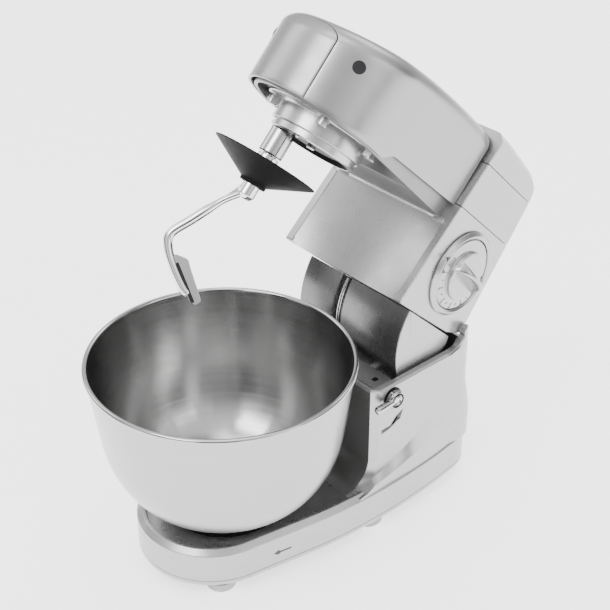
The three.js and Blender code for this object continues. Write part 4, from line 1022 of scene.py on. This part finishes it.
def build_planetary():
    spin = closed_place("beater_spin")[:2]
    ring = fillet([(12, 251.2), (39.6, 251.2), (RING_BORE, 234.6), (40.8, RING_LOW), (RING_R, RING_LOW),
                   (RING_R, 249.4), (44.2, 251.0), (FLANGE, 251.0), (FLANGE, FLANGE_TOP), (12, FLANGE_TOP)],
                  [0, 0.5, 0.3, 0.5, 0.8, 0.8, 0.5, 1.0, 0.3, 0], 4)
    grids = [turned(ring, 144, closed=True)]
    for angle in (220, 310, 25, 130):
        centre = 48.6 * np.array([math.cos(math.radians(angle)), math.sin(math.radians(angle))])
        lug = fillet([(0, 242.2), (5.2, 242.2), (5.2, 250.4), (6.4, 252.0), (0, 252.0)], [0, 0.7, 1.2, 0, 0], 5,
                     closed=False)
        grids.append(turned(lug, 40, centre))
        reach = arc(5.2, 90, 270, 16, (0, 0)) * np.array([1.3, 1])
        web = np.concatenate([reach - [6.0, 0], [(0.5, -5.2), (0.5, 5.2)]])
        c, s = math.cos(math.radians(angle)), math.sin(math.radians(angle))
        web = web @ np.array([[c, s], [-s, c]]) + centre
        grids.append(slab(dense(web, 2), edges(243.4, 251.5, 0.4, 3)))
    piece("planetary_casting", "head", [CAST], grids, ["planetary_housing"], pose=head_pose)
    r = RING_BORE - 0.7
    dish = fillet([(0, 230.2), (24, 230.0), (34.6, 231.6), (36.2, 227.2), (r - 0.8, 227.2), (r, 228.2), (r, 236),
                   (0, 236)], [0, 6, 1.0, 0.6, 0.5, 0.5, 0.4, 0], 5, closed=False)
    made = piece("carrier_dish", "orbit", [CAST, CHARCOAL], [turned(dish, 144)], ["carrier"], pose=head_pose)
    # The dish's inner floor takes charcoal: painted shade inside the dish under the head.
    at, _ = faces_at(made, tilted=True)
    recolour(made, (np.hypot(at[:, 0], at[:, 1]) < 36.1) & (at[:, 2] < 233), 1)
    r = 11.05
    sleeve = fillet([(6.8, 204.6), (r, 204.6), (r, 231.5), (6.8, 231.5)], [0.4, 1.1, 0, 0], 5)
    piece("sleeve_skin", "orbit", [BRIGHT], [turned(sleeve, 72, spin, closed=True)], ["spindle_sleeve"],
          pose=head_pose)
    lip = fillet([(r + 0.2, 230.6), (r + 2.0, 229.4), (r + 3.4, 231.2)], [0.3, 0.6, 0.3], 4)
    piece("sleeve_collar", "orbit", [CAST], [turned(lip, 72, spin, closed=True)], pose=head_pose)
    at = (2.0, -3.0)
    hexagon = arc(4.2, 15, 375, 7, at)[:-1]
    head = slab(fillet(hexagon, 0.4, 3), edges(226.4, 230.4, 0.5, 3))
    piece("carrier_bolt", "orbit", [BRIGHT], [head], ["carrier_screw"], pose=head_pose)


# ---------------------------------------------------------------- dough hook and cone
HOOK_TURN = math.radians(40)


def build_tool():
    spin = closed_place("beater_spin")[:2]
    c, s = math.cos(HOOK_TURN), math.sin(HOOK_TURN)

    def hooked(points):
        """Hook's own plane to the head: u along 40 degrees, w across it, about the spindle."""
        u, w = points[..., 0], points[..., 1]
        return np.stack([spin[0] + u * c - w * s, spin[1] + u * s + w * c, points[..., 2]], -1)

    hub = fillet([(0, 161.0), (5.2, 161.4), (7.8, 165.0), (7.8, 176.6), (9.6, 177.2), (9.6, 203.4), (6.6, 203.4),
                  (6.6, 169.0), (0, 169.0)], [0, 3.0, 1.5, 0.5, 0.6, 0.7, 0.4, 0.3, 0], 5, closed=False)
    arm = np.array([(-4, 0, 164.5), (-13, 0, 153.0), (-20.5, 0, 139.5), (-29.0, 0, 122.5), (-35.5, 0, 110.5),
                    (-37.6, 0, 104.0), (-36.0, 0, 97.5), (-29.0, 0, 88.6), (-17.0, 0, 78.6), (-4.0, 0, 70.0),
                    (2.5, 0, 68.0)])
    path = spline(arm, 9)
    t = np.linspace(0, 1, len(path))
    thick = 3.1 + 1.1 * soft_step((t - 0.12) / 0.12)
    end = np.sqrt(np.clip(1 - ((t - 0.96) / 0.042)**2, 0.02, 1)) * (t > 0.96) + (t <= 0.96)
    rod = hooked(swept(path, thick * end, thick * end, 28))

    def plate(points, radii, half):
        """Flat outline in the hook's plane, as thick as twice half, with round edges."""
        outline = fillet(points, radii, 5)
        return hooked(slab(outline, edges(-half, half, 0.7, 3), lambda r: r[..., [0, 2, 1]]))

    fin = plate([(-6.5, 174.5), (-24.5, 134.5), (-22.5, 132.0), (-18.0, 141.5), (-6.5, 161.5)], [1.2, 1, 1, 4, 1], 1.6)
    blade = plate([(-25.5, 91.0), (-14.0, 92.6), (-9.0, 87.6), (13.0, 68.5), (11.0, 64.6), (6.5, 64.4), (-14.5, 81.0)],
                  [1.0, 3.0, 2.5, 1.6, 1.6, 1.4, 1.0], 3.0)
    # A charcoal strip on the blade's faces: painted shade along the line where the two plates meet.
    crease_shade = plate([(-23.0, 89.0), (9.0, 64.9), (7.0, 64.7), (-15.2, 81.6)], 0.4, 3.25)
    ring = fillet([(9.95, 175.2), (12.2, 175.2), (12.2, 178.4), (9.95, 178.4)], [0.2, 0.5, 0.3, 0.2], 3)
    piece("hook", "tool", [HOOK_STEEL], [turned(hub, 64, spin), rod, fin, blade], ["dough_hook"],
          pose=head_pose, sharp=34)
    cone = fillet([(9.95, 178.2), (12.4, 178.0), (48.4, 196.6), (48.4, 197.5), (47.4, 197.5), (11.4, 181.8),
                   (9.95, 181.8)], [0.2, 1.5, 0.3, 0.3, 0.3, 0.8, 0.2], 4)
    piece("blade_crease_shade", "tool", [CHARCOAL], [crease_shade], pose=head_pose)
    piece("splash_cone", "tool", [BLACK],
          [turned(cone, 128, spin, closed=True), turned(ring, 64, spin, closed=True)], ["dough_shield"],
          pose=head_pose, sharp=30)


# ---------------------------------------------------------------- speed dial
BEZEL_R, DISC_R, KNOB_R, WING = 41.4, 34.8, 24.0, 20.0


def build_dial():
    centre = closed_place("dial_turn")
    turn = math.atan(TAPER)

    def on_side(points):
        """Dial's own axes to the neck's side: out, forwards-back and up, turned by the neck's taper."""
        out, along, up = points[..., 0], points[..., 1], points[..., 2]
        return np.stack([out * math.cos(turn) - along * math.sin(turn) + centre[0],
                         out * math.sin(turn) + along * math.cos(turn) + centre[1], up + centre[2]], -1)

    def facing(rings):
        """Turned about Z to turned about the dial's own axis."""
        return on_side(rings[..., [2, 0, 1]])

    bezel = fillet([(DISC_R + 0.6, 0.4), (BEZEL_R, 0.4), (BEZEL_R, 2.0), (BEZEL_R - 3.6, 5.2), (DISC_R + 0.6, 3.4)],
                   [0.1, 0.3, 1.2, 1.2, 0.6], 5)
    piece("dial_surround", "head", [DIAL_SILVER], [facing(turned(bezel, 128, closed=True))],
          ["dial_bezel"], pose=head_pose)
    disc = fillet([(0, 0.7), (DISC_R, 0.7), (DISC_R, 2.4), (DISC_R - 1.2, 3.6), (KNOB_R + 1.2, 4.6), (KNOB_R, 4.6),
                   (KNOB_R - 0.6, 8.0), (KNOB_R - 3, 9.0), (0, 9.0)], [0, 0.2, 0.6, 0.8, 0.4, 0.5, 1.0, 2.0, 0], 5,
                  closed=False)
    stem = fillet([(0, -5.8), (4, -5.8), (4, 1.5), (0, 1.5)], [0, 0.5, 0, 0], 3, closed=False)
    u = np.linspace(-1, 1, 61)
    v = np.linspace(0, math.pi, 33)
    lean = math.radians(-10)
    length = KNOB_R - 0.8
    rise = 5 + WING * np.sqrt(np.maximum(1 - np.abs(u)**2.4, 0))
    broad = 3.4 + 2.6 * np.abs(u)**2
    wing = np.stack([5 + (rise[:, None] - 5) * np.sin(v)[None]**0.45,
                     (u * length)[:, None] + 0 * v[None], broad[:, None] * np.cos(v)[None]], -1)
    wing = np.concatenate([wing, wing[:, ::-1][:, 1:-1] * np.array([0, 1, 1]) + np.array([5.0, 0, 0])], 1)
    along, up = wing[..., 1].copy(), wing[..., 2].copy()
    wing[..., 1] = along * math.cos(lean) - up * math.sin(lean)
    wing[..., 2] = along * math.sin(lean) + up * math.cos(lean)
    piece("dial_knob", "dial", [DIAL_SILVER],
          [facing(turned(disc, 128)), facing(turned(stem, 24)), on_side(capped(wing))], ["speed_dial"], pose=head_pose,
          sharp=34)
    ticks = []
    for k, angle in enumerate(np.linspace(75, 285, 15)):
        a = math.radians(angle)
        long = 4.2 if k % 2 == 0 else 2.2
        mark = np.array([(-0.28, 0), (0.28, 0), (0.28, long), (-0.28, long)]) + np.array([0, KNOB_R + 6.4 - long])
        c, s = math.cos(a), math.sin(a)
        mark = mark @ np.array([[c, s], [-s, c]])
        face = 4.3
        ticks.append(on_side(slab(mark, [(0, face - 0.9), (0, face + 0.12), (0.05, face + 0.14)])[..., [2, 0, 1]]))
    piece("dial_ticks", "dial", [INK], ticks, pose=head_pose)
    arrow = np.array([(-37.0, 2.6), (-40.2, 0), (-37.0, -2.6)])[::-1]
    a = math.radians(-5)
    arrow = arrow @ np.array([[math.cos(a), math.sin(a)], [-math.sin(a), math.cos(a)]])
    pointer = on_side(slab(arrow, [(0, 3.0), (0, 5.3), (0.1, 5.4)])[..., [2, 0, 1]])
    piece("dial_pointer", "head", [INK], [pointer], pose=head_pose)
    digits(on_side)


def digits(on_side):
    """Speed numbers round the dial, each a text outline made a mesh and set on the dial's face."""
    for label in range(7):
        angle = math.radians(105 + label * 30)
        curve = bpy.data.curves.new(f"text_{label}", "FONT")
        curve.body = str(label)
        curve.size = 5.2
        curve.extrude = 0.08
        curve.align_x = "CENTER"
        curve.align_y = "CENTER"
        curve.resolution_u = 3
        text = bpy.data.objects.new(f"text_{label}", curve)
        bpy.context.scene.collection.objects.link(text)
        flat = bpy.data.meshes.new_from_object(text.evaluated_get(bpy.context.evaluated_depsgraph_get()))
        points = np.empty(len(flat.vertices) * 3)
        flat.vertices.foreach_get("co", points)
        points = points.reshape(-1, 3)
        r = KNOB_R + 8.6
        along = points[:, 0] - math.sin(angle) * r
        up = points[:, 1] + math.cos(angle) * r
        place = head_pose(on_side(np.stack([points[:, 2] + 4.0, along, up], -1)))
        flat.vertices.foreach_set("co", place.reshape(-1))
        flat.update()
        bpy.data.objects.remove(text)
        flat.name = f"dial_figure_{label}"
        flat.materials.clear()
        flat.materials.append(INK)
        made = bpy.data.objects.new(f"dial_figure_{label}", flat)
        bpy.context.scene.collection.objects.link(made)
        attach(made, "dial")


# ---------------------------------------------------------------- floor, lights, camera
LAMPS = [  # name, place, size, watts
    ("key", (0.1, -1.6, 2.3), (1.3, 0.9), 30),
    ("fill", (2.0, 0.3, 1.2), (1.0, 1.2), 9),
    ("left", (-1.9, -0.7, 1.5), (0.8, 1.4), 10),
    ("back", (-0.4, 2.0, 1.9), (1.4, 0.8), 12),
    ("top", (0.0, 0.0, 2.6), (1.2, 1.2), 12),
]


def build_stage():
    """Plain pale floor, soft box lights, and a pale sky with darker bands that gives polished metal its contrast."""
    floor = bpy.data.meshes.new("floor")
    r = 6.0
    floor.from_pydata([(-r, -r, 0), (r, -r, 0), (r, r, 0), (-r, r, 0)], [], [(0, 1, 2, 3)])
    ground = bpy.data.objects.new("floor", floor)
    bpy.context.scene.collection.objects.link(ground)
    n = Nodes("pale_floor")
    base = n.mix(n.between(n.noise(3), 0, 1), grey(0.93), grey(0.95))
    floor.materials.append(n.done(Base_Color=base, Roughness=0.85, Emission_Color=grey(1.0), Emission_Strength=1.9))

    world = bpy.context.scene.world or bpy.data.worlds.new("studio")
    bpy.context.scene.world = world
    world.use_nodes = True
    tree = world.node_tree
    tree.nodes.clear()
    coords = tree.nodes.new("ShaderNodeTexCoord")
    split = tree.nodes.new("ShaderNodeSeparateXYZ")
    ramp = tree.nodes.new("ShaderNodeValToRGB")
    bands = tree.nodes.new("ShaderNodeValToRGB")
    turn = tree.nodes.new("ShaderNodeMath")
    turn.operation = "ARCTAN2"
    scale = tree.nodes.new("ShaderNodeMapRange")
    scale.inputs["From Min"].default_value = -math.pi
    scale.inputs["From Max"].default_value = math.pi
    mix = tree.nodes.new("ShaderNodeMix")
    mix.data_type = "RGBA"
    mix.blend_type = "MULTIPLY"
    ground_light = tree.nodes.new("ShaderNodeBackground")
    ground_light.inputs["Strength"].default_value = 1.7
    out = tree.nodes.new("ShaderNodeOutputWorld")
    link = tree.links.new
    link(coords.outputs["Generated"], split.inputs[0])
    link(split.outputs[2], ramp.inputs[0])
    link(split.outputs[1], turn.inputs[0])
    link(split.outputs[0], turn.inputs[1])
    link(turn.outputs[0], scale.inputs["Value"])
    link(scale.outputs[0], bands.inputs[0])
    ramp.color_ramp.elements[0].position = 0.0
    ramp.color_ramp.elements[0].color = grey(0.55)
    ramp.color_ramp.elements[1].position = 0.9
    ramp.color_ramp.elements[1].color = grey(1.0)
    strips = [(0.0, 0.55), (0.10, 0.5), (0.14, 0.12), (0.17, 0.05), (0.185, 1.0), (0.225, 1.0), (0.24, 0.05),
              (0.27, 0.05), (0.28, 1.0), (0.335, 1.0), (0.345, 0.03), (0.425, 0.03), (0.435, 1.0), (0.485, 1.0),
              (0.50, 0.05), (0.53, 0.05), (0.55, 1.0), (0.59, 1.0), (0.61, 0.14), (0.68, 0.16), (0.72, 0.6)]
    bands.color_ramp.elements[0].position, bands.color_ramp.elements[0].color = strips[0][0], grey(strips[0][1])
    bands.color_ramp.elements[1].position, bands.color_ramp.elements[1].color = 1.0, grey(0.95)
    for position, level in strips[1:]:
        bands.color_ramp.elements.new(position).color = grey(level)
    link(ramp.outputs[0], mix.inputs[6])
    link(bands.outputs[0], mix.inputs[7])
    overhead = tree.nodes.new("ShaderNodeMapRange")
    for key, number in zip(("From Min", "From Max", "To Min", "To Max"), (0.3, 0.75, 1.0, 0.0)):
        overhead.inputs[key].default_value = number
    link(split.outputs[2], overhead.inputs["Value"])
    link(overhead.outputs[0], mix.inputs[0])
    link(mix.outputs[2], ground_light.inputs["Color"])
    link(ground_light.outputs[0], out.inputs["Surface"])

    for name, place, size, power in LAMPS:
        lamp = bpy.data.lights.new(name, "AREA")
        lamp.shape = "RECTANGLE"
        lamp.size, lamp.size_y = size
        lamp.energy = power
        light = bpy.data.objects.new(name, lamp)
        light.location = place
        aim = np.array([0.0, 0.0, 0.2]) - np.array(place)
        light.rotation_euler = (math.atan2(math.hypot(aim[0], aim[1]), -aim[2]), 0, math.atan2(-aim[0], aim[1]))
        bpy.context.scene.collection.objects.link(light)


def build_camera():
    camera = bpy.data.cameras.new("camera")
    camera.lens = 81.92
    camera.sensor_width = 36.0
    made = bpy.data.objects.new("camera", camera)
    made.location = stand_pose(np.array([802.362, -599.625, 874.07]))
    made.rotation_euler = (math.radians(58.309), 0, math.radians(49.046))
    bpy.context.scene.collection.objects.link(made)
    bpy.context.scene.camera = made


build_camera()
build_stage()
finish_frame_nodes()
build_base()
build_bowl()
build_lever()
build_drum()
build_head()
build_planetary()
build_tool()
build_dial()
